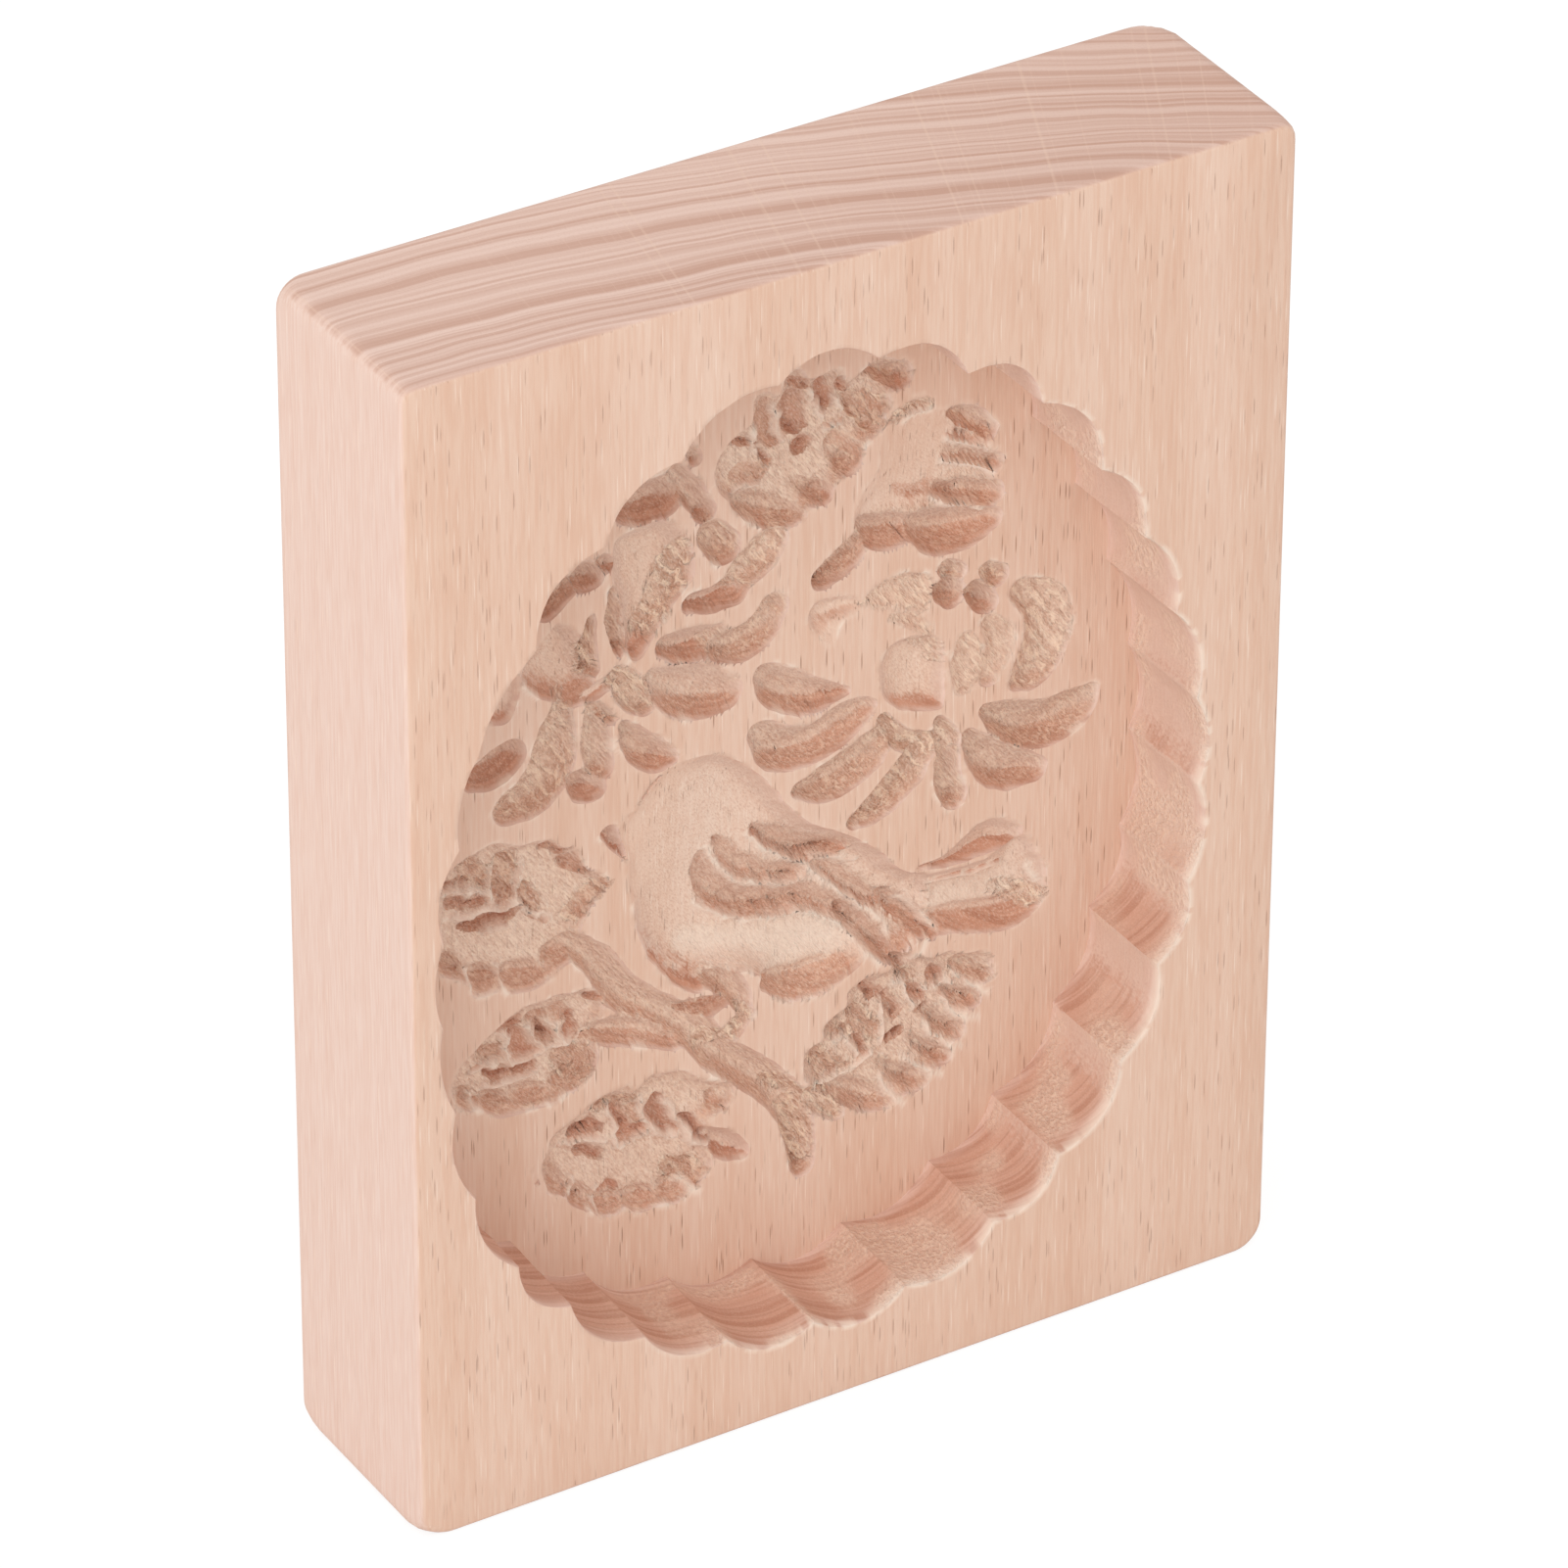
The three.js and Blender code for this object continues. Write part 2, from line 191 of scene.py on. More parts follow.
class WoodColours(bpy.types.PropertyGroup):
    face: tone("Face", "Beech cut along the grain", (0.83, 0.60, 0.475))
    face_warm: tone("Warm streak", "The warmer streaks in the same wood", (0.80, 0.555, 0.425))
    side: tone("Side", "Beech on the two long edges", (0.84, 0.635, 0.545))
    fleck: tone("Ray fleck", "The short dark dashes of beech", (0.46, 0.25, 0.165))
    hair: tone("Light hair", "The short light lines between them", (0.92, 0.73, 0.61))
    end: tone("End grain", "Beech sawn across the grain", (0.83, 0.605, 0.515))
    end_dark: tone("Growth ring", "The darker late wood of a growth ring", (0.615, 0.38, 0.295))
    cut: tone("Gouged end grain", "End grain inside a gouge cut", (0.62, 0.29, 0.185))
    cut_dark: tone("Gouged ring", "The darker rings in gouged end grain", (0.50, 0.215, 0.13))
    # Partly painted shade: the slopes of the cuts are given this duller, darker colour
    slope: tone("Cut slope", "The upper slope of a gouge cut", (0.72, 0.505, 0.40))
    torn: tone("Torn grain", "Wood torn by the gouge", (0.81, 0.54, 0.395))
    # Dark gaps and pits in torn wood, partly painted shade, and the dark points of the stipple
    torn_dark_and_gap_shade: tone("Torn hollow", "The small dark gaps in torn wood", (0.44, 0.205, 0.12))
    # Light splinters on the torn crests: partly pale fibre, partly painted highlight
    splinter_and_highlight: tone("Splinter", "Light splinters in torn wood", (0.96, 0.73, 0.55))
    fuzz: tone("Torn fibre", "Pale torn fibres on the rims", (0.94, 0.78, 0.65))


class StageSettings(bpy.types.PropertyGroup):
    floor: tone("Floor", "Colour of the floor", (0.86, 0.86, 0.86))
    key_power: amount("Key lamp", "Power of the large soft lamp at the left", 3.8, 100.0, 'POWER')
    fill_power: amount("Fill lamp", "Power of the soft lamp at the right", 0.4, 100.0, 'POWER')
    ambient: amount("Ambient", "Even light from all round", 0.83, 2.0)


def smoothstep(low, high, value):
    t = np.clip((value - low) / (high - low), 0.0, 1.0)
    return t * t * (3.0 - 2.0 * t)


LATTICE = np.random.default_rng(11).random((256, 256))


def value_noise(x, z, size, seed=0):
    """Smooth noise from 0 to 1 with bumps about size millimetres across."""
    u = x / size + 31.7 * seed
    v = z / size + 17.3 * seed
    i = np.floor(u).astype(int)
    j = np.floor(v).astype(int)
    fu = smoothstep(0.0, 1.0, u - i)
    fv = smoothstep(0.0, 1.0, v - j)
    a = LATTICE[i & 255, j & 255]
    b = LATTICE[(i + 1) & 255, j & 255]
    c = LATTICE[i & 255, (j + 1) & 255]
    d = LATTICE[(i + 1) & 255, (j + 1) & 255]
    return (a * (1 - fu) + b * fu) * (1 - fv) + (c * (1 - fu) + d * fu) * fv


def curve(a, b, c, d, t):
    """The place at t from b to c on a smooth curve through a, b, c and d."""
    return 0.5 * (2 * b + (c - a) * t + (2 * a - 5 * b + 4 * c - d) * t * t
                  + (3 * b - a - 3 * c + d) * t ** 3)


# Outlines

RECESS_LEFT = -WIDTH / 2 + RIM_LEFT
RECESS_RIGHT = WIDTH / 2 - RIM_RIGHT
RECESS_TOP = HEIGHT - RIM_TOP
CENTRE = ((RECESS_LEFT + RECESS_RIGHT) / 2, (RIM_BOTTOM + RECESS_TOP) / 2)
HALF = ((RECESS_RIGHT - RECESS_LEFT) / 2, (RECESS_TOP - RIM_BOTTOM) / 2)


class Outline:
    """The scalloped outline, read by its turn from 0 at the lowest cusp round to 1."""

    def __init__(self, scale):
        self.cusps = np.array(CUSPS)
        self.rises = np.array(RISES) * scale
        ahead = np.roll(self.cusps, -1, axis=0)
        size = np.hypot(*(ahead - self.cusps).T)
        self.at = np.concatenate([[0.0], np.cumsum(size)])
        self.at /= self.at[-1]

    def lobe(self, turn):
        """The scallop at each turn, and how far through it, from 0 at one cusp to 1 at the next."""
        place = np.mod(turn, 1.0)
        index = np.clip(np.searchsorted(self.at, place, side='right') - 1, 0, SCALLOPS - 1)
        return index, (place - self.at[index]) / (self.at[index + 1] - self.at[index])

    def smooth(self, turn):
        """The smooth oval through the cusps."""
        index, t = self.lobe(turn)
        return curve(*(self.cusps[(index + k) % SCALLOPS].T for k in (-1, 0, 1, 2)), t)

    def normal(self, turn):
        ax, az = self.smooth(turn - 0.004)
        bx, bz = self.smooth(turn + 0.004)
        size = np.hypot(bx - ax, bz - az)
        return (bz - az) / size, -(bx - ax) / size

    def scalloped(self, turn):
        index, t = self.lobe(turn)
        b = self.cusps[index].T
        c = self.cusps[(index + 1) % SCALLOPS].T
        size = np.hypot(*(c - b))
        rise = self.rises[index] * (1 - (2 * t - 1) ** 2)
        x = b[0] + (c[0] - b[0]) * t + rise * (c[1] - b[1]) / size
        z = b[1] + (c[1] - b[1]) * t - rise * (c[0] - b[0]) / size
        return x, z


def board_outline(inset, radii, count=4000):
    """The board's rounded rectangle as seen from the front."""
    x = WIDTH / 2 - inset
    z = HEIGHT / 2 - inset
    points = []
    for radius, sx, sz, start in zip(radii, (1, 1, -1, -1), (-1, 1, 1, -1), (-90, 0, 90, 180)):
        r = max(radius - inset, 0.05)
        for k in range(13):
            a = math.radians(start + 7.5 * k)
            points.append((sx * (x - r) + r * math.cos(a), HEIGHT / 2 + sz * (z - r) + r * math.sin(a)))
    points = np.array(points + points[:1])
    s = np.concatenate([[0.0], np.cumsum(np.hypot(*np.diff(points, axis=0).T))])
    at = np.linspace(0.0, s[-1], count)
    return np.interp(at, s, points[:, 0]), np.interp(at, s, points[:, 1])


def corner_radii(y):
    """The board's corners are sanded rounder towards the front and the back."""
    front = max(1 - (y - FRONT) / CORNER_REACH, 0.0) ** 2
    back = max(1 - (BACK - y) / CORNER_REACH, 0.0) ** 2
    return [side + front * (first - side) + back * (last - side)
            for side, first, last in zip(SIDE_CORNERS, FRONT_CORNERS, BACK_CORNERS)]


def on_board(angle, inset, y):
    """The points of the board's outline that lie at the given angles round the recess centre."""
    x, z = board_outline(inset, corner_radii(y))
    around = np.arctan2(z - CENTRE[1], x - CENTRE[0])
    order = np.argsort(around)
    around, x, z = around[order], x[order], z[order]
    around = np.concatenate([around - 2 * math.pi, around, around + 2 * math.pi])
    return np.interp(angle, around, np.tile(x, 3)), np.interp(angle, around, np.tile(z, 3))


# Carving tools

def spline(points, steps=6):
    """A smooth line through stations of x, z and half width."""
    p = np.array([list(q) + [1.0] * (3 - len(q)) for q in points], float)
    if len(p) == 2:
        t = np.linspace(0, 1, 5)[:, None]
        return p[0] * (1 - t) + p[1] * t
    ends = np.vstack([2 * p[0] - p[1], p, 2 * p[-1] - p[-2]])
    out = [curve(*ends[i - 1:i + 3], t)
           for i in range(1, len(ends) - 2) for t in np.linspace(0, 1, steps, endpoint=False)]
    return np.array(out + [p[-1]])


class Picture:
    """The carved picture at a set of points, in the layout's own coordinates."""

    def __init__(self, x, z):
        self.x = x
        self.z = z
        self.depth, self.rough, self.pale, self.tint = np.zeros((4, len(x)))
        self.rim, self.edge = np.full((2, len(x)), FAR)

    def moved(self, dx, dz, wobble=0.0):
        """The same picture, with its strokes given from a corner at dx, dz, and uneven by wobble."""
        other = copy.copy(self)
        other.x = self.x - dx + 2 * wobble * (value_noise(self.x, self.z, 0.9, 12) - 0.5)
        other.z = self.z - dz + 2 * wobble * (value_noise(self.x, self.z, 1.1, 13) - 0.5)
        return other

    def keep_edge(self, pick, gap):
        """Keeps the nearest rim, valley or crest, onto which the mesh is drawn."""
        closer = np.abs(gap) < np.abs(self.edge[pick])
        self.edge[pick[closer]] = gap[closer]

    def raise_to(self, pick, **least):
        """Raises depth, torn grain or colour to at least the values given."""
        for name, values in least.items():
            held = getattr(self, name)
            held[pick] = np.maximum(held[pick], values)

    def near(self, points, reach):
        low = points[:, :2].min(0) - reach
        high = points[:, :2].max(0) + reach
        return np.flatnonzero((self.x > low[0]) & (self.x < high[0])
                              & (self.z > low[1]) & (self.z < high[1]))

    def closest(self, line, pick):
        """How far outside the line's width each point lies, the nearest place on it, and the
        half width there."""
        px, pz = self.x[pick], self.z[pick]
        best = np.full(len(pick), 1e9)
        qx, qz, w = np.zeros((3, len(pick)))
        for a, b in zip(line[:-1], line[1:]):
            dx, dz = b[0] - a[0], b[1] - a[1]
            size = dx * dx + dz * dz + 1e-12
            t = np.clip(((px - a[0]) * dx + (pz - a[1]) * dz) / size, 0, 1)
            cx, cz = a[0] + t * dx, a[1] + t * dz
            width = a[2] + t * (b[2] - a[2])
            gap = np.hypot(px - cx, pz - cz) - width
            closer = gap < best
            best[closer] = gap[closer]
            qx[closer], qz[closer], w[closer] = cx[closer], cz[closer], width[closer]
        return best, qx, qz, w

    def stroke(self, points, valley):
        """The points near a stroke, how far each lies outside it, which are in it, and for
        those how far they lie from its deepest line to its rim, and how wide it is. The deepest
        line lies valley of the half width below the middle."""
        line = spline(points)
        pick = self.near(line, line[:, 2].max() + 2.0)
        gap, qx, qz, w = self.closest(line, pick)
        self.keep_edge(pick, gap)
        inside = gap < 0
        bz = -valley * w[inside]
        ax = self.x[pick[inside]] - qx[inside]
        az = self.z[pick[inside]] - qz[inside] - bz
        dot = az * bz
        size = ax * ax + az * az + 1e-9
        r = size / (-dot + np.sqrt(dot * dot + size * (w[inside] ** 2 - bz * bz)) + 1e-9)
        wide = w[inside] > 0.8
        self.keep_edge(pick[inside][wide], np.sqrt(size[wide]))
        scale = (w[inside] / line[:, 2].max()) ** 0.7
        return pick, gap, inside, np.clip(r, 0, 1), scale

    def gouge(self, points, depth, valley=0.55, rough=0.0):
        """One gouge cut."""
        pick, gap, inside, r, scale = self.stroke(points, valley)
        self.rim[pick] = np.minimum(self.rim[pick], gap)
        self.raise_to(pick[inside], depth=depth * scale * (1 - r ** 1.7), rough=rough)

    def gouges(self, rows, valley=0.55):
        """Gouge cuts in rows of their depth, torn grain and stations."""
        for depth, rough, *stations in rows:
            self.gouge(stations, depth, valley, rough)

    def dig(self, points, depth, valley=0.45, rough=0.0, tint=0.0, pale=0.0):
        """A cut made in what is already carved. It leaves the rim alone."""
        pick, gap, inside, r, scale = self.stroke(points, valley)
        pick = pick[inside]
        cut = self.depth[pick] > 0
        pick, r, scale = pick[cut], r[cut], scale[cut]
        self.depth[pick] += depth * scale * (1 - r ** 1.2)
        # tint darkens the middle of the cut with the gouged colour: partly end grain, partly painted shade
        self.raise_to(pick, rough=rough, tint=tint * (1 - r ** 4), pale=pale * (1 - r ** 3))

    def signed(self, loop, pick):
        """Distance to a closed outline, negative inside it."""
        px, pz = self.x[pick], self.z[pick]
        best = np.full(len(pick), 1e9)
        inside = np.zeros(len(pick), bool)
        for a, b in zip(loop, np.roll(loop, -1, axis=0)):
            dx, dz = b - a
            t = np.clip(((px - a[0]) * dx + (pz - a[1]) * dz) / (dx * dx + dz * dz + 1e-12), 0, 1)
            best = np.minimum(best, np.hypot(px - a[0] - t * dx, pz - a[1] - t * dz))
            crosses = (a[1] > pz) != (b[1] > pz)
            at = a[0] + (pz - a[1]) / (dz if abs(dz) > 1e-12 else 1e-12) * dx
            inside ^= crosses & (px < at)
        return np.where(inside, -best, best)

    def hollow(self, points, depth, edge, lower=None, rough=0.0, shallow=None):
        """A scooped area. edge is how far in it reaches most of its depth, lower the same for
        its lower side. It may start shallow, from one point, and be full deep at another."""
        points = list(points)
        loop = spline(points[-2:] + points + points[:2], 5)[10:-10, :2]
        pick = self.near(loop, 2.0)
        gap = self.signed(loop, pick)
        self.rim[pick] = np.minimum(self.rim[pick], gap)
        self.keep_edge(pick, gap)
        inside = gap < 0
        pick, gap = pick[inside], -gap[inside]
        run = edge
        if lower is not None:
            low, high = loop[:, 1].min(), loop[:, 1].max()
            run = edge + (lower - edge) * smoothstep(0.75, 0.15, (self.z[pick] - low) / (high - low))
        down = depth * (1 - np.exp(-1.6 * gap / run))
        if shallow is not None:
            (ax, az), (bx, bz) = shallow
            size = (bx - ax) ** 2 + (bz - az) ** 2
            t = ((self.x[pick] - ax) * (bx - ax) + (self.z[pick] - az) * (bz - az)) / size
            down *= 0.3 + 0.7 * smoothstep(0.0, 1.0, t)
        self.raise_to(pick, depth=down, rough=rough)

    def ridge(self, points, height=0.5, width=0.38):
        """A thin pale line of wood left standing in a carved area."""
        line = spline([(*q, width) for q in points])
        pick = self.near(line, width)
        gap, _, _, w = self.closest(line, pick)
        inside = gap < 0
        pick = pick[inside]
        r = (gap[inside] + w[inside]) / w[inside]
        self.keep_edge(pick, r * width)
        top = np.maximum(self.depth[pick] - height, 0.1)
        self.depth[pick] = self.depth[pick] * r ** 0.8 + top * (1 - r ** 0.8)
        self.rough[pick] *= 0.4
        self.tint[pick] *= 0.2
        self.raise_to(pick, pale=1 - 0.8 * r)

    def ridges(self, lines, height=0.5, width=0.38):
        for line in lines:
            self.ridge(line, height, width)


# Picture

def carve_left_flower(p):
    f = p.moved(-3.05, 3.63)
    f.hollow([
        (-17, 89.9), (-14, 90.7), (-11, 90), (-9.4, 87.9), (-8.8, 84.2), (-10.6, 82.2), (-12.8, 79.2),
        (-14.6, 76.9), (-15.8, 78.2), (-16.2, 82.4), (-17.2, 85.4),
        (-17.4, 87.6)], 2.6, 3.4, 1.6, rough=0.1)
    f.dig([(-9.8, 87, 0.9), (-11, 83.4, 1.4), (-13.4, 79.6, 1.1)], 0.5, rough=1)
    f.hollow([
        (-24.9, 81.4), (-26.4, 79.5), (-25.8, 77.7), (-24.6, 76.3), (-23.1, 75.3), (-21.8, 74.3),
        (-20.6, 74.3), (-19, 76), (-19.2, 78.8), (-20.6, 81.8), (-22.9, 83.4)], 2.5, 2.4, 1.3, rough=0.15)
    f.hollow([
        (-29.7, 75.1), (-29.6, 77), (-28.7, 78.7), (-27, 79.8), (-26.4, 78.8), (-26.7, 77), (-27.3, 75.2),
        (-28.5, 74.8)], 0.9, 1.4, 0.6)
    f.gouges([
        (2.3, 1, (-19.3, 82.7, 0.5), (-19.5, 80.2, 0.8), (-19.4, 77.6, 0.9)),
        (2.4, 0.6, (-17.2, 84.8, 0.5), (-16.9, 81.6, 1.1), (-16.3, 78.9, 0.9)),
        (2, 0.4, (-23.7, 84.9, 1.1), (-22.9, 85.5, 1.2), (-21.7, 86.6, 1.3)),
        (2.1, 0.3, (-20.1, 87.2, 1.5), (-19.5, 87.2, 1.7)),
        (1.5, 0, (-18, 88.4, 0.7), (-17.4, 87.7, 0.7)),
        (2.5, 0.8, (-22.4, 75, 0.8), (-23, 72, 2), (-23.5, 69.2, 2.5), (-25.2, 66.8, 2.4),
         (-27.7, 65.9, 1.8)),
        (2.1, 0.5, (-19.2, 73.4, 0.9), (-19, 70, 1.6), (-18.5, 67.3, 1.5)),
        (2.5, 0.2, (-20.9, 66.6, 1.2), (-20, 65.8, 1.8), (-18.9, 65, 1)),
        (2.4, 0.3, (-16.1, 70.8, 0.7), (-14.8, 68.4, 1.6), (-13, 66.6, 1.7), (-11.3, 65.7, 0.8)),
        (1.9, 0.9, (-16.5, 75.9, 1.3), (-15.2, 73.8, 1.7), (-14, 72.2, 1.2)),
        (1.2, 0.3, (-18.5, 73.2, 0.5), (-17.5, 71.8, 0.6)),
        (2.5, 0.25, (-13, 74.7, 1.1), (-10.9, 72.9, 2.4), (-8.2, 71.6, 2.8), (-5.9, 70.8, 1.9)),
        (2.3, 0.15, (-11.7, 77.5, 1.3), (-9.5, 76.9, 2), (-7, 76.7, 1.6)),
        (2.2, 0.6, (-6.4, 75.8, 1.5), (-4, 75.3, 2), (-2, 76.2, 1.9), (-0.9, 77.9, 1.7)),
        (2.3, 0.15, (-9.2, 81.1, 1.1), (-7, 80.8, 1.4), (-5, 81.2, 1.8)),
        (1.9, 0.8, (-4, 82.6, 1.9), (-1.9, 84.1, 2.1), (-0.9, 85, 1.6)),
        (0.7, 0, (-20.5, 75, 0.8), (-18.5, 75.4, 1), (-16.3, 76.5, 0.7)),
        (1.5, 0.5, (-19.8, 74, 0.4), (-18.5, 73.1, 0.7), (-17.2, 71.8, 0.4))])
    f.gouge([(-31.2, 69.9, 1.2), (-29.3, 70.5, 2), (-27.6, 71.4, 1.7)], 2.6, 0.4, 0.2)


def carve_right_flower(p):
    f = p.moved(-3.05, 3.64)
    f.gouges([
        (2.6, 0.3, (-1.7, 71.1, 1.4), (0.1, 69.2, 2.25), (3, 67.5, 1.9), (6.6, 66.7, 0.6)),
        (2.5, 0.4, (-2.2, 65.2, 1.5), (-0.2, 63.1, 2.4), (3, 62.4, 2.15), (6.5, 63.6, 2.1),
         (8.8, 64.4, 1.1)),
        (2.4, 0.7, (2, 57.9, 1), (4.8, 57.9, 2.1), (8, 59, 2.3), (10.9, 60.9, 1.6)),
        (2.3, 0.9, (7.6, 52.7, 0.9), (10, 53.6, 1.7), (12.8, 55.9, 2), (14.9, 58.2, 1.4)),
        (2.3, 0.6, (16.6, 59.2, 0.7), (17.3, 56.5, 1.3), (17.4, 54, 1.6), (18.2, 51.9, 1.4)),
        (2.5, 0.4, (19.6, 57.8, 0.9), (21.5, 55, 2.1), (23.8, 53, 2.3), (26.5, 52, 1.5)),
        (2.6, 0.5, (21.3, 59.9, 0.8), (24, 58.1, 2.1), (27.4, 56.6, 2.6), (30.5, 57.1, 2.3),
         (32.4, 58.4, 1)),
        (1.6, 0.8, (25, 71.4, 1.5), (27.2, 69.4, 2.4), (27.8, 66.4, 2.6), (26.5, 63.2, 2.4),
         (24.6, 61.8, 1)),
        (1, 0.5, (21.6, 69.1, 1.1), (22.8, 66.9, 1.7), (21.7, 63.7, 1.3))])
    f.hollow([
        (11.05, 70), (13.5, 70.4), (16.4, 69.3), (17.3, 66.9), (17, 63.9), (16.7, 61.7), (14.3, 62.2),
        (11.9, 63.2), (10.4, 65.4), (10.2, 68.4)], 1.5, 2.6, 0.9, rough=0.1)
    f.dig([(13.5, 70, 0.5), (15.5, 69, 0.9), (16.3, 67, 0.7)], 0.4, rough=0.6)
    f.hollow([
        (2.5, 75.4), (3.3, 76.9), (5.5, 77.1), (8, 76.3), (9.2, 75.2), (7.6, 74.5), (6.2, 74), (5.4, 72.2),
        (4.4, 72.6), (3.2, 74)], 1.2, 1.6, rough=0.15, shallow=((6, 73), (5, 76.5)))
    f.hollow([
        (8, 75.4), (9.6, 76.8), (12, 77.4), (14.2, 76.9), (15.8, 75.6), (15.8, 73.8), (14.8, 72.2),
        (13, 72.8), (11.4, 73.8), (9.5, 74.4)], 1.2, 1.6, rough=0.7, shallow=((11.5, 73), (12.5, 77)))
    f.gouges([
        (0.9, 0.6, (19.2, 68.2, 1), (19.4, 65.7, 1.9), (19, 63.4, 1.2)),
        (1.7, 0.6, (16.9, 76.4, 0.9), (17.9, 75.5, 1.3)),
        (1.6, 0.8, (21.2, 74.9, 0.9), (22.3, 74, 1.3)),
        (1.7, 1, (10.6, 62.4, 0.9), (12.6, 59.7, 1.2), (15.6, 58.8, 1)),
        (1.6, 0.8, (16.4, 60.4, 0.7), (17.6, 58.6, 1), (18, 57, 0.7))])
    f.gouge([(11.4, 73, 0.5), (13.4, 72, 0.9), (15.2, 70.4, 0.6)], 0.5, 0.2, 0.6)
    f.gouges([
        (2.4, 0.4, (17.1, 74, 1.5), (17.6, 73.4, 1.5)),
        (2.5, 0.4, (20.1, 73, 1.2), (20.8, 71.9, 1.5), (21.5, 71.1, 1))], 0.45)


def carve_bud(p):
    p.gouge([(1.2, 82.9, 1.3), (3.2, 84.1, 1.6), (5, 85.6, 1.3)], 2.4, rough=0.5)
    bud = p.moved(-3.15, 3.59)
    bud.hollow([
        (7.4, 84), (8.3, 86.8), (9.6, 88.4), (10.2, 91), (10.4, 93), (11.6, 94.6), (13.2, 95.3),
        (14.9, 95.1), (15.8, 93.4), (17.2, 93), (18.8, 92.9), (20.4, 91.5), (21.7, 89.6), (21.9, 87.8),
        (23, 86.2), (22.4, 84.6), (20.6, 83), (17.6, 82.4), (13, 82.2),
        (9.6, 82.6)], 1.2, 3.2, 1.6, shallow=((9, 93), (16, 84)))
    bud.gouges([
        (2.7, 0.3, (8.4, 83.6, 1), (10.3, 82.4, 2), (12.7, 81.9, 1.7)),
        (3, 0.3, (13.8, 81.9, 1.4), (16.3, 80.6, 2.5), (19, 80.1, 2.4), (21.7, 80.1, 1.2)),
        (1.9, 0.4, (17.6, 92.3, 0.7), (19.6, 91, 1.3), (21.3, 89.4, 1.1))], 0.4)
    bud.gouge([(16.7, 84.6, 0.8), (19, 83.8, 1.7), (21.6, 82.8, 1.4)], 2.4, 0.5, 0.4)
    bud.gouge([(17.4, 88.2, 0.7), (19.8, 87.1, 1.2), (22, 85.9, 1)], 1.9, 0.6, 0.4)
    bud.dig([(18.4, 89.8, 0.45), (19.9, 88.9, 0.4)], 0.8, rough=0.4)
    # These two cuts are painted darker deep inside: partly end grain, partly painted shade
    bud.dig([(16.2, 84.8, 0.7), (18.4, 83.2, 0.8)], 0.4, rough=0.4, tint=0.3)
    bud.dig([(12, 86, 0.5), (13, 85.3, 0.7), (14.4, 85.1, 0.7), (15.8, 85.3, 0.5)], 0.35, tint=0.55)
    bud.dig([(11.4, 93.8, 0.7), (13.6, 94.2, 0.8), (15.1, 94, 0.7)], 0.5, rough=1)
    bud.ridges((
        [(12.6, 92.9), (14, 93.4), (15.2, 93.2)], [(17.2, 89.6), (19.2, 88.4), (21.5, 87.3)],
        [(16.8, 87.2), (19.5, 86), (22, 84.8)], [(15.8, 83.8), (17.4, 82.8), (19.4, 81.9), (21, 80.9)]))


def carve_top_shoots(p):
    top = p.moved(-2.95, 3.55)
    top.gouges([
        (2.6, 0.2, (-16.3, 92.3, 0.8), (-14.3, 92.8, 2.2), (-12.2, 93, 2.3)),
        (2.1, 0.3, (-10.9, 95, 1), (-9.3, 92.6, 1.3), (-8, 90.2, 1.2)),
        (2.3, 0.7, (-7.3, 87.6, 1.7), (-6.1, 86, 1.9))], 0.5)
    top.gouge([(-9.6, 97.2, 0.6), (-8.9, 95.8, 0.8)], 1, rough=0.4)


def carve_leaf(rims, cuts, shape, valley, outline, lobes, cells, ridges):
    """A leaf: its hollow, the lobes gouged along its edge, its small cells, painted dark deep inside
    partly for gouged end grain and partly as painted shade, and the thin lines left between them. Cells are
    rows like those of gouges."""
    rims.hollow(outline, *shape)
    rims.gouges(lobes, valley)
    for depth, rough, *cell in cells:
        wide = [(x, z, 1.25 * w) for x, z, w in cell]
        deepest = 1.6 * max(w for _, _, w in wide)
        # Each cell is painted darker in its depth: partly gouged end grain, partly painted shade
        cuts.dig(wide, min(1.3 * depth, deepest), rough=max(rough, 0.2), tint=0.8 - 0.4 * rough)
    cuts.ridges(ridges)


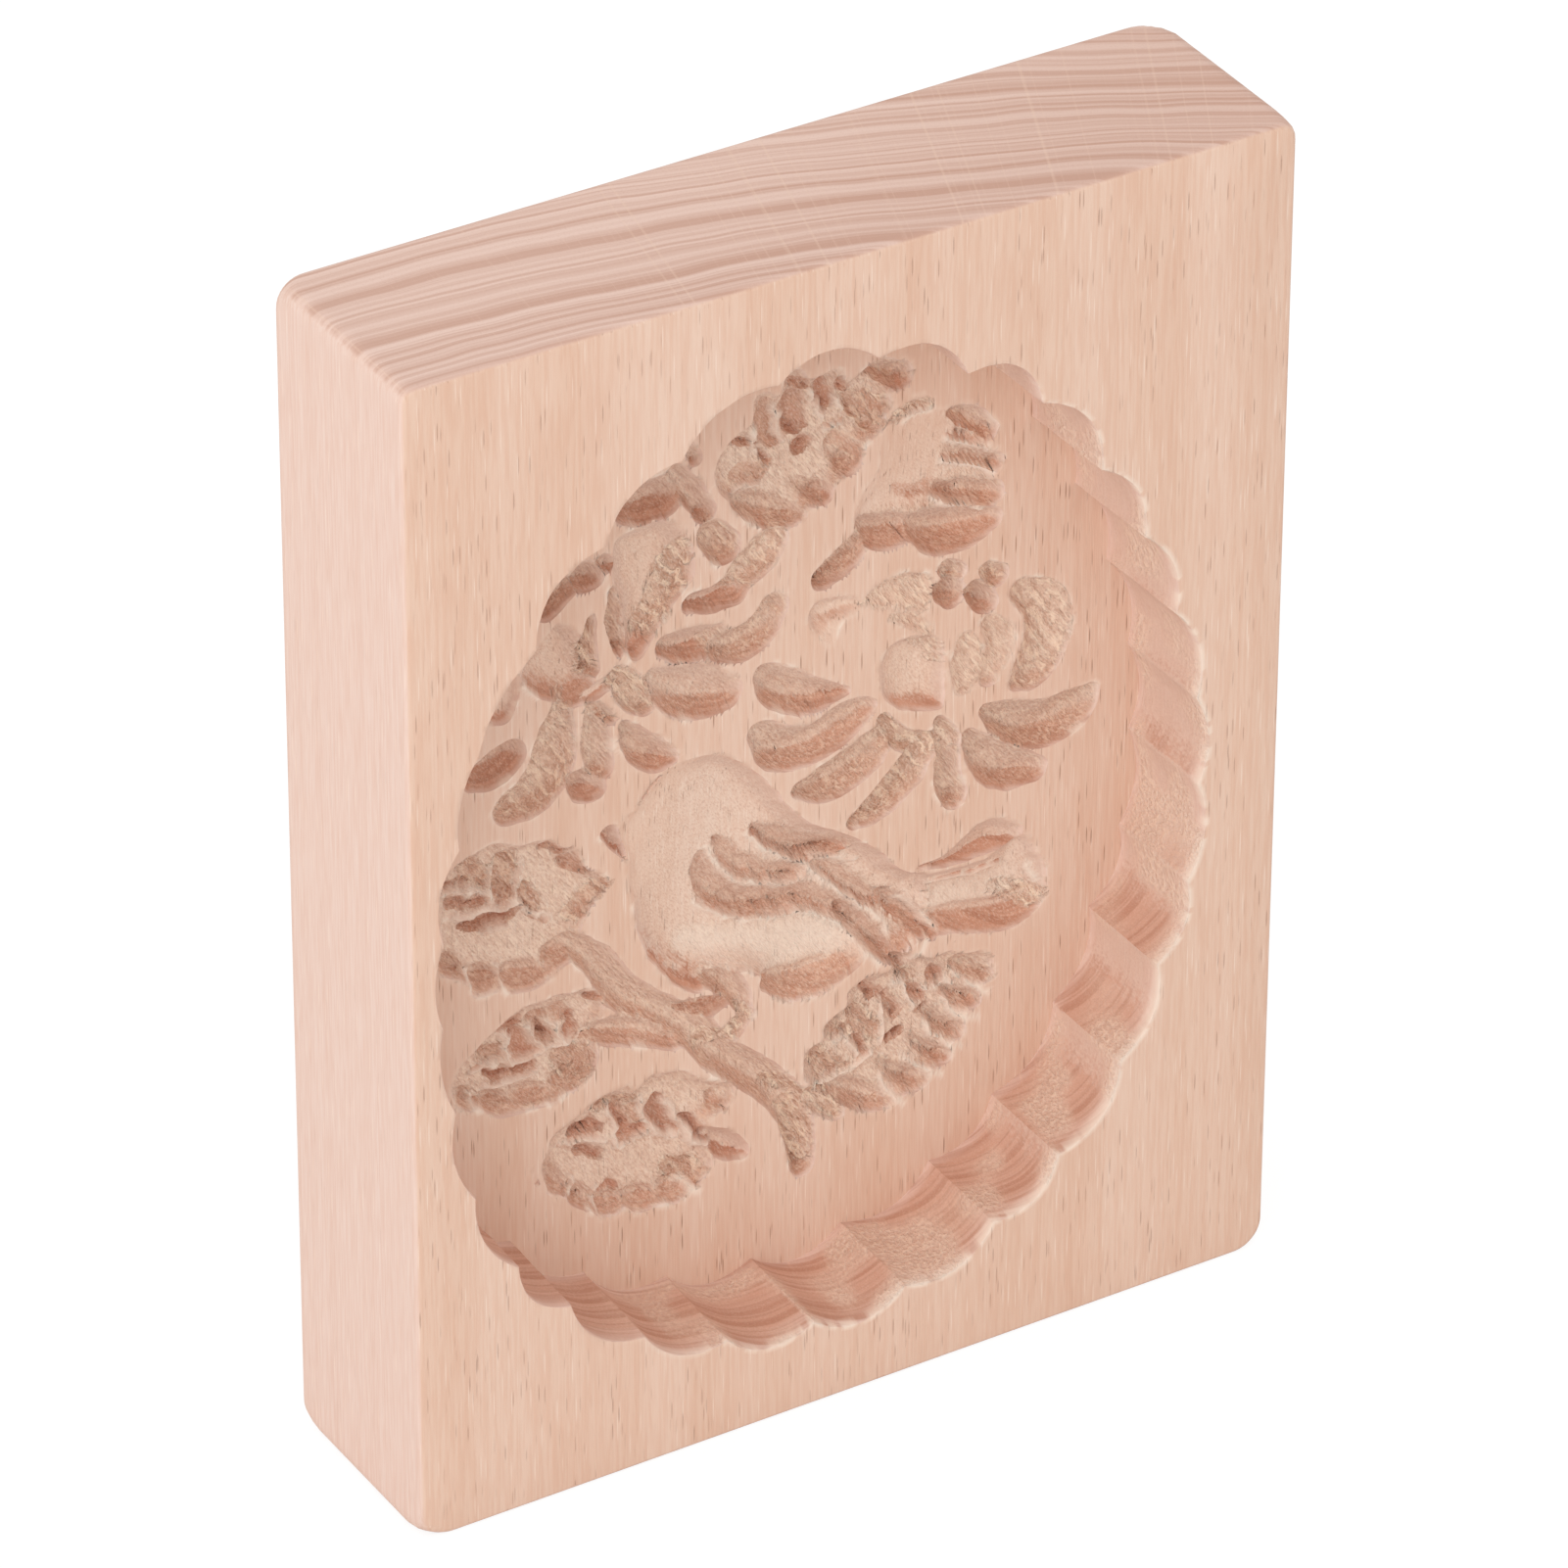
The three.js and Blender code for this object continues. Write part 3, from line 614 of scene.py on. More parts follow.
def carve_leaves(p):
    # Upper left leaf
    carve_leaf(
        p.moved(-2.85, 3.75), p.moved(-2.1, 2.85, 0.3), (1.4, 1.8, 1.4, 0.4), 0.35, [
        (-35.2, 58.5), (-34.8, 60.6), (-33.4, 61.7), (-31.8, 62.3), (-29.7, 62.8), (-27.7, 62),
        (-26.3, 61.5), (-25, 61.6), (-23.6, 61.1), (-22.6, 60), (-21.3, 59.3), (-20.5, 58.2), (-20.2, 56.8),
        (-18.6, 56), (-18, 54.5), (-19.8, 52.8), (-20.8, 50.5), (-21.3, 48.4), (-22.8, 47.2), (-24, 46.4),
        (-26, 46), (-28, 46.3), (-29, 47), (-30.5, 46.9), (-31.8, 47.3), (-32.4, 48.7), (-34.2, 50),
        (-35.4, 50.8), (-35.6, 52), (-34.9, 54), (-35.1, 56)], [
        (2.3, 0.3, (-34.6, 52.2, 0.8), (-33.6, 51.2, 1.3), (-32.8, 50.4, 0.9)),
        (2.3, 0.3, (-32, 49.9, 0.9), (-30.7, 49.2, 1.6), (-29.5, 48.8, 1.2)),
        (2.3, 0.3, (-28.6, 48.9, 1), (-27, 48.1, 1.9), (-25.2, 47.7, 1.5)),
        (2.3, 0.3, (-24.2, 49, 1), (-22.9, 49, 1.6), (-21.8, 49.8, 1.1))], [
        (0.56, 0.5, (-34.8, 60.4, 0.5), (-32.6, 59.3, 0.5)),
        (0.64, 1, (-32.5, 61.4, 0.9), (-31.6, 59.8, 1.1), (-30.7, 58.2, 0.9)),
        (0.72, 1, (-29.1, 61.1, 0.8), (-28.6, 58.7, 1), (-28.3, 57.3, 0.8)),
        (0.56, 0.5, (-29.3, 57.8, 0.6), (-28.6, 56.4, 0.5)),
        (0.8, 0.9, (-26.5, 57, 0.7), (-26, 55.6, 0.8), (-25.5, 54.7, 0.6)),
        (0.64, 0.5, (-26.3, 54.5, 0.45), (-24.7, 53.3, 0.45)),
        (0.64, 0.5, (-34.6, 58.2, 0.5), (-32.5, 57.4, 0.55), (-30.9, 56.8, 0.4)),
        (1.04, 0.5, (-32.6, 55.3, 0.5), (-30.5, 55, 0.75), (-27.9, 54.7, 0.6)),
        (0.48, 0.5, (-24.8, 61.2, 0.45), (-23, 60.2, 0.5)),
        (0.72, 0.5, (-23.1, 58.9, 0.6), (-21.9, 58.4, 0.8), (-20.8, 57.4, 0.5)),
        (0.4, 1, (-22, 53.4, 0.9), (-20, 54.4, 1.2), (-18.9, 55.2, 0.8))], [
        [(-30.1, 60.2), (-29.9, 56.6)], [(-27.1, 59.8), (-27, 55.3), (-24.3, 53)],
        [(-35, 59.6), (-32.2, 58.5), (-30, 57.3)], [(-34.5, 56.7), (-32, 56), (-27.5, 55.7)],
        [(-31, 54), (-28.4, 53.6)], [(-32.7, 50.6), (-32.4, 48.9)], [(-29.7, 50.2), (-29.2, 47.4)]])
    # Lower left leaf
    carve_leaf(
        p.moved(-2.85, 3.8), p.moved(-2.1, 2.9, 0.3), (1.4, 1.7, 1.3, 0.4), 0.35, [
        (-34.3, 37.8), (-33.5, 39.9), (-32, 41.4), (-30.6, 42.4), (-29.3, 43.2), (-27.2, 44.3), (-25, 44.5),
        (-23.1, 44.7), (-21.5, 44.3), (-20.2, 44.2), (-18.9, 43), (-18.2, 41.4), (-19.2, 39.6),
        (-18.9, 37.5), (-19.5, 35.4), (-20.5, 34), (-22, 33.6), (-23.5, 32.9), (-25, 33), (-27, 33.1),
        (-28.5, 33.3), (-30, 33.8), (-31.2, 34.8), (-32.5, 35.2), (-33.8, 36.3)], [
        (2.2, 0.4, (-33.2, 37.4, 0.7), (-32.2, 36.7, 1.3), (-31.5, 36, 0.9)),
        (2.2, 0.4, (-30.8, 36.2, 0.8), (-29.5, 35.4, 1.5), (-28.4, 35, 1)),
        (2.2, 0.4, (-27.6, 35.6, 0.9), (-26, 34.8, 1.6), (-24.6, 34.6, 1.2)),
        (2.2, 0.4, (-23.7, 35.4, 0.9), (-22.3, 35.1, 1.5), (-21, 35.3, 1))], [
        (0.7, 0.9, (-31.6, 42.2, 0.6), (-30.2, 40.6, 1), (-28.9, 39.4, 0.7)),
        (0.5, 0.3, (-29, 43.3, 0.5), (-27.3, 43.9, 0.5)),
        (1, 0.1, (-27.9, 42, 0.7), (-27, 40.7, 1), (-26.3, 39.8, 0.7)),
        (1, 0.8, (-25.7, 43.4, 0.8), (-24.8, 41.8, 0.8), (-24.2, 40, 0.6)),
        (0.8, 0, (-25.2, 41.9, 0.3), (-24.4, 40.4, 0.3)),
        (0.9, 0, (-22.3, 42, 0.5), (-21.8, 40.2, 0.5)),
        (0.7, 0, (-30.8, 38.6, 0.4), (-28.8, 38, 0.5)),
        (0.7, 0, (-27.7, 38.3, 0.5), (-26.1, 38.2, 0.5)),
        (0.8, 0, (-20.8, 43.9, 0.35), (-19.2, 43.2, 0.35)),
        (0.6, 1, (-23, 38.3, 1.1), (-21.5, 36.9, 1.4)),
        (0.4, 0.6, (-23.6, 43.6, 0.8), (-23.1, 42.6, 0.7))], [
        [(-29.4, 42.8), (-28.6, 40.7), (-28.2, 38.9)], [(-26.6, 42.7), (-25.2, 39.3)],
        [(-32.5, 39.6), (-28, 39.1), (-25, 39), (-22, 39.7)], [(-24.3, 41.9), (-23.3, 40.7), (-22.5, 39.5)],
        [(-30.9, 37.2), (-28.5, 37.1), (-25.4, 37.3)], [(-32.3, 37.4), (-32, 35.4)]])
    # Bottom leaf
    bottom = p.moved(-2.95, 3.9)
    bottom.gouge([(-26.1, 26.8, 0.25), (-25.4, 24.7, 0.3)], 0.6)
    bottom.gouge([(-7.6, 23.9, 0.9), (-5.9, 22.1, 1.5), (-4.2, 20.8, 0.9)], 1.8, 0.4)
    carve_leaf(
        bottom, p.moved(-2.2, 3, 0.3), (1.4, 1.8, 1.4, 0.35), 0.35, [
        (-24.4, 28), (-24.1, 29.1), (-22.9, 30.1), (-21.1, 30.7), (-20, 31.6), (-18.4, 32), (-15.9, 32.2),
        (-15.2, 31.4), (-13.4, 32.5), (-12.1, 32.3), (-10.4, 31.8), (-8.2, 30.3), (-5.6, 28.9),
        (-4.6, 27.4), (-5.4, 26.3), (-7.4, 25.4), (-8.2, 23.8), (-7.3, 22), (-7.2, 20.3), (-8.9, 18.6),
        (-9.8, 17.9), (-11, 17.5), (-12.6, 17.9), (-14.3, 17.7), (-15.5, 17.9), (-16.4, 18.9),
        (-17.3, 18.4), (-18.5, 18.9), (-19.5, 20.1), (-20.5, 20.4), (-21.6, 21.9), (-22.3, 22.1),
        (-23.3, 22.9), (-24.4, 24.3), (-25, 25.8), (-24.9, 27)], [
        (2.2, 0.3, (-24.2, 26, 0.7), (-23.3, 24.5, 1.2), (-22.6, 23.3, 0.8)),
        (2.2, 0.3, (-21.7, 23.1, 0.7), (-20.8, 21.8, 1.3), (-19.9, 21, 0.8)),
        (2.2, 0.3, (-19.6, 21.3, 0.9), (-18.2, 20.2, 1.5), (-16.9, 19.8, 1.1)),
        (2.2, 0.3, (-16.1, 20.3, 0.9), (-14.5, 19.5, 1.6), (-13, 19.2, 1.1)),
        (2.2, 0.3, (-12.6, 20, 0.9), (-11.2, 19.3, 1.6), (-9.8, 19.6, 1.1))], [
        (1, 0.3, (-21.6, 29.5, 0.5), (-20.2, 29.2, 0.7), (-19, 28.6, 0.5)),
        (0.5, 1, (-19, 31.2, 0.7), (-16.4, 31, 0.8)),
        (1, 0.2, (-17.4, 30, 0.5), (-16.6, 28.2, 0.55)),
        (0.7, 0, (-17, 27.6, 0.6), (-14.8, 26.9, 0.6)),
        (0.4, 0.9, (-16, 29.6, 0.6), (-14.8, 28.2, 0.6)),
        (1.2, 0.2, (-13.4, 29.6, 0.6), (-12.8, 27.6, 0.8), (-11.6, 25.7, 0.5)),
        (1, 0, (-10.2, 26.4, 0.6), (-8.7, 24.5, 0.6)),
        (0.7, 0.5, (-21.4, 27, 0.45), (-18.9, 25.8, 0.5)),
        (0.5, 0.6, (-8, 28.2, 0.5), (-6.4, 26.5, 0.5)),
        (0.5, 0, (-18.6, 22.2, 0.4), (-17.6, 21.6, 0.4)),
        (0.4, 1, (-11.5, 22.2, 1), (-9.6, 20.4, 1.1))], [
        [(-17.9, 30.2), (-17.5, 28), (-17.2, 25.5)],
        [(-15.3, 30.4), (-14.5, 28.7), (-13.8, 26.9), (-11.3, 25)], [(-16.6, 26.1), (-13.9, 26.1)],
        [(-12.3, 29.3), (-11.5, 27.5), (-10.6, 25.4), (-8.3, 23.4)],
        [(-23.4, 28.3), (-21, 27.9), (-18.4, 26.8)], [(-22.4, 24.2), (-21.9, 22.6)],
        [(-11, 20.4), (-9.6, 18.9)], [(-19.6, 22.4), (-19.4, 20.4)]])
    # Right leaf
    carve_leaf(
        p.moved(-3.15, 3.87), p.moved(-2.4, 3, 0.3), (1.3, 1.4, 1, 0.4), 0.45, [
        (2.5, 28.3), (2.9, 29.5), (4.7, 30.1), (4.6, 31.2), (5.8, 32.2), (6.9, 32.6), (7.1, 34.1),
        (8.3, 34.9), (9.8, 35.2), (11.5, 35.1), (12.1, 36.1), (13.3, 36.3), (14.9, 35.5), (16.3, 35),
        (18, 35), (19.1, 34.4), (20.3, 34.1), (21.6, 33.8), (22.6, 32.7), (22.8, 31.2), (22.3, 30.2),
        (21.2, 29.9), (21.5, 28.8), (21.2, 27.8), (20.2, 27.6), (19.7, 26.2), (19.2, 25.2), (18.2, 24.6),
        (18.4, 23.2), (17.5, 22.6), (16.3, 22.7), (16.2, 21.6), (15, 20.8), (13.4, 20.8), (12, 20),
        (10.2, 20.1), (8.5, 20.9), (6.6, 22.1), (5, 23.3), (3.6, 24.3), (3.1, 25.8), (2.5, 27)], [
        (2.47, 0.2, (4.5, 24.7, 0.7), (7, 23.8, 1.5), (9.2, 22.4, 1.8), (10.8, 21.2, 1.2)),
        (2.47, 0.3, (11.2, 24.8, 0.8), (12.8, 23.3, 1.2), (14.4, 22, 1.3)),
        (2.34, 0.4, (14.6, 26.4, 0.8), (16.2, 24.6, 1.1), (17.4, 23.6, 1)),
        (2.34, 0.4, (16, 28.9, 0.9), (17.7, 27, 1.1), (19, 25.9, 0.9)),
        (2.21, 0.3, (17.4, 31.3, 0.9), (19.2, 29.6, 1.1), (20.7, 28.6, 0.9)),
        (2.08, 0.6, (19, 33.3, 1), (20.6, 32.1, 1.1), (22, 31, 0.8))], [
        (0.6, 1, (3.6, 28.9, 0.8), (4.8, 27.4, 1.2), (6.2, 26, 0.8)),
        (0.6, 1, (5, 31.6, 0.6), (6.9, 29.8, 0.8)),
        (0.6, 1, (7.6, 32.2, 0.7), (8.6, 30.6, 1), (9.6, 29, 0.7)),
        (0.8, 0, (7.9, 28.9, 0.35), (8.6, 27.5, 0.4)),
        (0.9, 0.4, (8.6, 34.7, 0.5), (9.7, 33.4, 0.7)),
        (1.1, 0, (10.6, 33.5, 0.3), (10.9, 32.4, 0.4)),
        (0.8, 0.5, (11.2, 32, 0.6), (12.2, 30.4, 0.7)),
        (0.5, 1, (12.3, 35, 0.6), (13.4, 33.6, 0.7)),
        (0.8, 0.4, (13.7, 32.5, 0.4), (14.8, 31.4, 0.5)),
        (1, 0, (15.8, 33.8, 0.5), (17, 32.4, 0.5)),
        (0.9, 0, (11.4, 27.9, 0.5), (12.6, 28, 0.5)),
        (0.7, 0, (14.7, 29.9, 0.3), (15.2, 29.6, 0.3))], [
        [(10.75, 32), (10.75, 27.9)], [(11.9, 33.9), (13.1, 33.2), (13.6, 31.8), (13.9, 30.6)],
        [(5.8, 29.6), (7, 29), (8, 27.2)], [(10.3, 23.8), (11.4, 22.4), (12.4, 20.9)],
        [(13.4, 25.3), (14.8, 23.9), (16.2, 22.6)], [(15.3, 28), (17, 26), (18.6, 24.9)],
        [(17, 30), (18.6, 28.4), (20.2, 27.6)], [(18.3, 32.6), (20, 31), (21.6, 29.9)],
        [(15.2, 31.9), (16.6, 31.9), (18, 31.4)], [(4, 25.6), (6.5, 25.4), (9.5, 27)]])
    # Top leaf
    carve_leaf(
        p.moved(-3.05, 3.55), p.moved(-2.3, 2.65, 0.3), (1.5, 1.6, 1.2, 0.5), 0.45, [
        (-7, 93.2), (-6.4, 95.2), (-4.8, 96.9), (-3.2, 97.6), (-3, 99.6), (-2.3, 100.4), (-1.2, 100.2),
        (-0.4, 99.6), (0.2, 101), (0.9, 101.7), (2.1, 101.5), (2.9, 100.3), (4.5, 100.4), (6, 100.4),
        (6.4, 98.9), (7.6, 99.1), (9, 99.9), (11, 99.9), (12.8, 99), (13.3, 97.8), (12.3, 96.6), (11, 96.2),
        (11.2, 95), (10.3, 94.2), (9.8, 92.5), (8.4, 91.5), (7.6, 89.8), (6.2, 89.1), (5.2, 88), (4, 86.9),
        (2.9, 86.9), (2.4, 86), (0.8, 85.7), (-0.8, 86.4), (-2.6, 87.2), (-4.2, 88.5), (-5.4, 90.2),
        (-6.4, 91.4)], [
        (2.6, 0.1, (-4.4, 90.1, 1), (-1.6, 88.7, 2), (1.1, 87.2, 1.5)),
        (2.47, 0.1, (2, 90, 1), (4.1, 88.3, 1.4)),
        (2.34, 0.5, (4.8, 93, 0.9), (6.7, 90.5, 1.4)),
        (1.95, 0.8, (7.2, 96, 1.1), (9.2, 93.6, 1.2)),
        (2.47, 0.1, (9.3, 99, 1), (11.9, 97.8, 1.5))], [
        (0.8, 0.6, (-2.3, 99.4, 0.8), (-1.7, 97.4, 1.2), (-0.8, 95.6, 0.9)),
        (0.9, 0, (-2.6, 95, 0.3), (-1.3, 93, 0.35)),
        (0.6, 0.3, (0.9, 101.1, 0.5), (2.1, 100.6, 0.6)),
        (1, 0.4, (0.9, 99.4, 0.8), (1.2, 97.4, 1.2), (1.6, 96, 0.9)),
        (0.7, 0, (0.6, 96.3, 0.4), (1.3, 95.3, 0.4)),
        (1.1, 0.1, (3.7, 99.8, 0.6), (4, 98.4, 0.9), (4.3, 97.2, 0.6)),
        (0.8, 0.1, (5.7, 100, 0.4), (5.8, 98.8, 0.45)),
        (1.1, 0, (1.3, 93.6, 0.4), (2.3, 94.1, 0.6)),
        (0.6, 1, (6.6, 97.3, 0.8), (8, 96.3, 1.2), (9.5, 95, 0.8)),
        (0.5, 0.8, (5.3, 93.6, 0.7), (7.1, 91.9, 0.8)),
        (0.6, 0.4, (-4.8, 96.2, 0.4), (-3, 95.4, 0.4)),
        (0.3, 0.8, (-4.6, 93.2, 0.7), (-2.4, 92.5, 0.8))], [
        [(-0.9, 98.8), (0, 94.8)], [(2.65, 99.6), (4.2, 96)], [(-5.4, 92), (-2.8, 91.2)],
        [(-3.1, 97.4), (-3, 94.8)], [(5.2, 97.7), (6.4, 96.4)], [(4.4, 95), (6.2, 95)]])


def carve_branch(p):
    p.gouge([
        (-25, 53.6, 1.3), (-22.5, 51.1, 1.6), (-20.5, 48, 1.8), (-18.5, 45.2, 1.9), (-15.5, 42.7, 1.9),
        (-12, 39.6, 1.9), (-9.5, 36.2, 1.9), (-6, 32.9, 1.9), (-3.3, 29.9, 1.9), (-1.8, 27.2, 1.9),
        (-1, 24.2, 1.7), (-0.7, 21, 1.4)], 2.3, 0.35, 0.4)
    p.gouge([(-23.5, 43.2, 0.9), (-20, 42.4, 1.7), (-17, 41.2, 1.6), (-14, 39.3, 1.2)], 2.2, 0.5, 0.3)
    p.dig([(-1.4, 26.5, 1.4), (-1, 24, 1.5), (-0.7, 21.4, 1.1)], 0.3, rough=1)
    p.gouge([(0, 28.2, 1), (1.6, 26.8, 1.3), (3, 25.3, 0.9)], 1.2, rough=1)
    p.dig([(-3.5, 30.4, 0.8), (-1.2, 29, 0.8)], 0.3, rough=1)


def carve_bird(p):
    bird = p.moved(-3.05, 3.78)
    inner = p.moved(-1.77, 2.16, 0.12)
    bird.hollow([
        (-16.6, 60.4), (-15.5, 61.3), (-14.7, 61.8), (-12.6, 64), (-11, 64.7), (-9, 64.9), (-7, 64.6),
        (-5, 63.6), (-3.5, 62.2), (-2, 60.4), (-0.5, 58.6), (0.6, 56.8), (2, 55), (4, 53.3), (6.3, 51.8),
        (8.6, 50.2), (10.5, 48.3), (12, 46.5), (13.6, 45.1), (15.4, 44.3), (17, 41.5), (16.6, 38.6),
        (16.4, 37.2), (14.6, 37.4), (13.2, 36.9), (11.6, 35.9), (10.3, 36.7), (9.3, 37.6), (8, 36.5),
        (6, 35.6), (4, 35.2), (1.5, 35.3), (-0.2, 36.3), (-1.2, 38), (-2.4, 39.5), (-4.5, 40.4),
        (-6.8, 40.4), (-8.4, 39.6), (-9.8, 40.3), (-11.6, 42.2), (-13.4, 44.6), (-14.6, 47.4),
        (-15.3, 50.4), (-15.8, 53.6), (-16, 56.4),
        (-16.6, 58.4)], 2.5, 1.8, 1.7, shallow=((-16.5, 55), (-6, 50)))
    bird.gouge([(-17.7, 59.8, 0.95), (-17, 58.5, 0.75), (-16.3, 57.3, 0.4), (-15.8, 56.2, 0.15)], 1.7, 0.3)
    bird.gouges([
        (0.6, 0, (-14.6, 61.9, 0.2), (-12.6, 64.1, 0.25)),
        (2, 0, (-13, 46, 0.8), (-11.4, 44.1, 1.3), (-9.8, 42.4, 1.6), (-8.3, 41, 1.2))])

    # Wing and body
    for depth, *feather in (
            (1.625, (-8.5, 54, 0.8), (-8.2, 52.2, 1.3), (-7.2, 50.8, 1.5), (-5.6, 49.2, 1.6),
             (-3.8, 48, 1.6), (-2, 47.3, 1.6), (0.2, 46.8, 1.6), (2, 46.3, 1.5), (3.6, 45.6, 1.3),
             (5.2, 44.5, 1.2), (6.6, 43.3, 1)),
            (1.25, (-6.6, 55.4, 0.6), (-5.9, 54.3, 0.9), (-4.9, 52.9, 1.1), (-3.9, 51.8, 1.2),
             (-2.6, 50.9, 1.2), (-1, 50, 1.2), (0.8, 49.4, 1.1), (2, 49, 0.8)),
            (1.5, (-2.8, 55.4, 0.6), (-1.2, 54.3, 1), (0.3, 53.1, 1.3), (1.8, 52, 1.5), (3.2, 51.4, 1.5),
             (5, 51.1, 1.3), (6.3, 50.9, 0.8)),
            (1.125, (3.6, 49.4, 0.6), (5, 48.4, 1), (6.6, 46.8, 1.1), (8, 45.2, 1.1), (9.2, 44.1, 0.9),
             (10.2, 43.3, 0.6)),
            (1.625, (10.6, 44, 0.6), (11.8, 42.6, 0.9), (13.1, 41.1, 1), (14.1, 39.8, 1), (15.3, 38.6, 0.9),
             (16.8, 38, 0.6)),
            (1.75, (6.5, 43.4, 0.7), (7.8, 42, 1.1), (8.9, 40.5, 1.2), (10, 39.1, 1.2), (11.2, 37.9, 1),
             (12.1, 37, 0.7)),
            (0.75, (10.8, 40.4, 0.6), (12, 39.2, 0.8), (13, 38.4, 0.6))):
        # Each feather is painted a little darker in its depth: partly end grain, partly painted shade
        inner.dig(feather, depth, 0.6, rough=0.35, tint=0.25)
    for torn in (
            [(2, 50.7, 0.4), (5.6, 50.2, 0.5)], [(-4.8, 51, 0.4), (-3.6, 50.1, 0.4)],
            [(-3.2, 49.6, 0.35), (0.8, 48.6, 0.4)], [(-8.3, 50.2, 0.4), (-5.6, 48.2, 0.5)],
            [(-4.4, 47, 0.4), (-1, 46, 0.5), (2.6, 45.4, 0.4)], [(6.6, 42.4, 0.4), (8.2, 41, 0.4)]):
        inner.dig(torn, 0.3, rough=0.6)
    bird.gouge([(-0.9, 38.3, 1.3), (1.6, 37.4, 2.1), (4.6, 37.3, 2.1), (7.4, 38, 1.3)], 2.9, 0.2, 0.35)
    inner.ridges((
        [(-9, 49.4), (-6.5, 47.5), (-4.5, 46.3), (-2.5, 45.5), (0, 45), (2, 44.7), (3.6, 43.9), (5.2, 42.8),
        (6.8, 41.1), (7.8, 39.5), (9.2, 37.8)],
        [(-7.8, 55), (-6.6, 52.9), (-5, 50.8), (-3.6, 49.7), (-1.5, 48.7), (1, 48.1), (2.6, 48.5)],
        [(-3.7, 54.8), (-1.8, 53), (0.4, 51.1), (2.2, 49.8), (3.3, 48.9), (5, 47.2), (6.5, 45.4),
        (8.3, 43.4), (9.4, 42.4), (10.6, 41), (11.2, 39.6)], [(3.4, 49.9), (5.8, 49.3), (7.6, 48.6)],
        [(12.6, 42.6), (14, 41), (15.4, 39.4)], [(12.8, 37.2), (13.7, 38), (14.2, 38.8)]), 0.3, 0.34)
    inner.dig([
        (-10, 46, 1.5), (-5, 43.4, 2.6), (0, 42, 2.8), (4, 41.6, 2.4),
        (7.6, 39.8, 1.2)], 0.15, 0.1, rough=0.3, pale=0.55)

    # Tail
    bird.gouge([
        (14.4, 45.2, 0.3), (17, 45.1, 0.7), (19.5, 45.5, 1.3), (22, 46.2, 1.9),
        (24.4, 45.6, 1.2)], 1.7, 0.6, 0.1)
    bird.hollow([
        (14.6, 43.6), (16.4, 44.2), (19, 43.9), (22, 43.9), (24.5, 45.2), (26, 44.9), (27.4, 42.6),
        (28.3, 40), (28, 37.4), (26.6, 35.9), (24, 35.3), (21, 35.9), (18.2, 36.9), (16, 37.6),
        (14.8, 40)], 1.9, 2.6, 1.7)
    bird.gouge([
        (16, 39.6, 1.1), (18.5, 38.8, 1.8), (21.5, 37.9, 2.1), (24.5, 37.4, 2.1),
        (26.8, 38.2, 1.2)], 2.5, 0.3, 0.15)
    inner.dig([(15, 42.2, 0.9), (19, 41.6, 2.2), (23, 41.2, 2.2)], 0.1, 0.1, rough=0.2, pale=0.35)
    inner.dig([(22.5, 40.8, 0.8), (24.8, 39.6, 1.2), (26.6, 39.4, 0.8)], 0.3, rough=1)
    inner.ridge([(14.8, 44.4), (18, 43.9), (22.4, 43.7)], 0.5)
    inner.ridge([(25.4, 42.6), (26.2, 40.6)], 0.3)

    # Legs
    bird.gouges([
        (2.2, 0.4, (-7.7, 41.2, 0.9), (-6, 40.1, 1.3), (-4.8, 38.7, 1.3), (-4, 37.2, 1.1),
         (-3.9, 36.1, 0.8)),
        (2.3, 0.3, (-12.4, 39.4, 0.6), (-10, 38.2, 1.3), (-8, 37.9, 1.3), (-6.2, 38, 0.9))], 0.4)
    bird.gouge([(-3.6, 35.6, 1), (-5.6, 33.9, 1.2), (-7.6, 33.6, 0.9)], 1.4, 0.3, 1)


def carve(x, z):
    """The picture at points of the recess floor, given in the board's millimetres."""
    lx = LAYOUT_CENTRE[0] + (x - CENTRE[0]) * LAYOUT_HALF[0] / HALF[0]
    lz = LAYOUT_CENTRE[1] + (z - CENTRE[1]) * LAYOUT_HALF[1] / HALF[1]
    p = Picture(lx, lz).moved(0.0, 0.0, 0.12)
    for part in (carve_left_flower, carve_right_flower, carve_bud, carve_top_shoots, carve_leaves,
                 carve_branch, carve_bird):
        part(p)
    return p


# Block

def ring_layout(total):
    """For each point of a square grid: its ring, and its place round the ring from 0 to 1."""
    axis = np.arange(-total, total + 1)
    j, i = np.meshgrid(axis, axis, indexing='ij')
    ring = np.maximum(np.abs(i), np.abs(j))
    safe = np.maximum(ring, 1).astype(float)

    def eighths(k):
        k = k.astype(float)
        kept = FLOOR_RINGS - WEDGE
        outer = np.sign(k) * (kept + (np.abs(k) - kept) / np.maximum(safe - kept, 1.0) * WEDGE) / FLOOR_RINGS
        fixed = np.where(np.abs(k) <= kept, k / FLOOR_RINGS, outer)
        return np.where(ring <= FLOOR_RINGS, k / safe, fixed) / 8

    turn = np.zeros(ring.shape)
    turn = np.where(j == -ring, eighths(i), turn)
    turn = np.where(j == ring, 0.5 + eighths(-i), turn)
    turn = np.where(i == ring, 0.25 + eighths(j), turn)
    turn = np.where(i == -ring, 0.75 + eighths(-j), turn)
    return ring, np.mod(turn, 1.0)


def match_columns(cusps, turn):
    """Shifts places round the rings so that every cusp falls on a column of points."""
    columns = 8 * FLOOR_RINGS
    target = np.round(cusps * columns)
    for corner in (1, 3, 5, 7):
        gap = target - corner * FLOOR_RINGS
        near = np.abs(gap) < WEDGE + 1
        target[near] = corner * FLOOR_RINGS + np.where(gap[near] < 0, -1, 1) * (WEDGE + 1)
    source = target / columns
    source = np.concatenate([source - 1, source, source + 1])
    place = np.concatenate([cusps - 1, cusps, cusps + 1])
    return np.interp(turn, source, place)


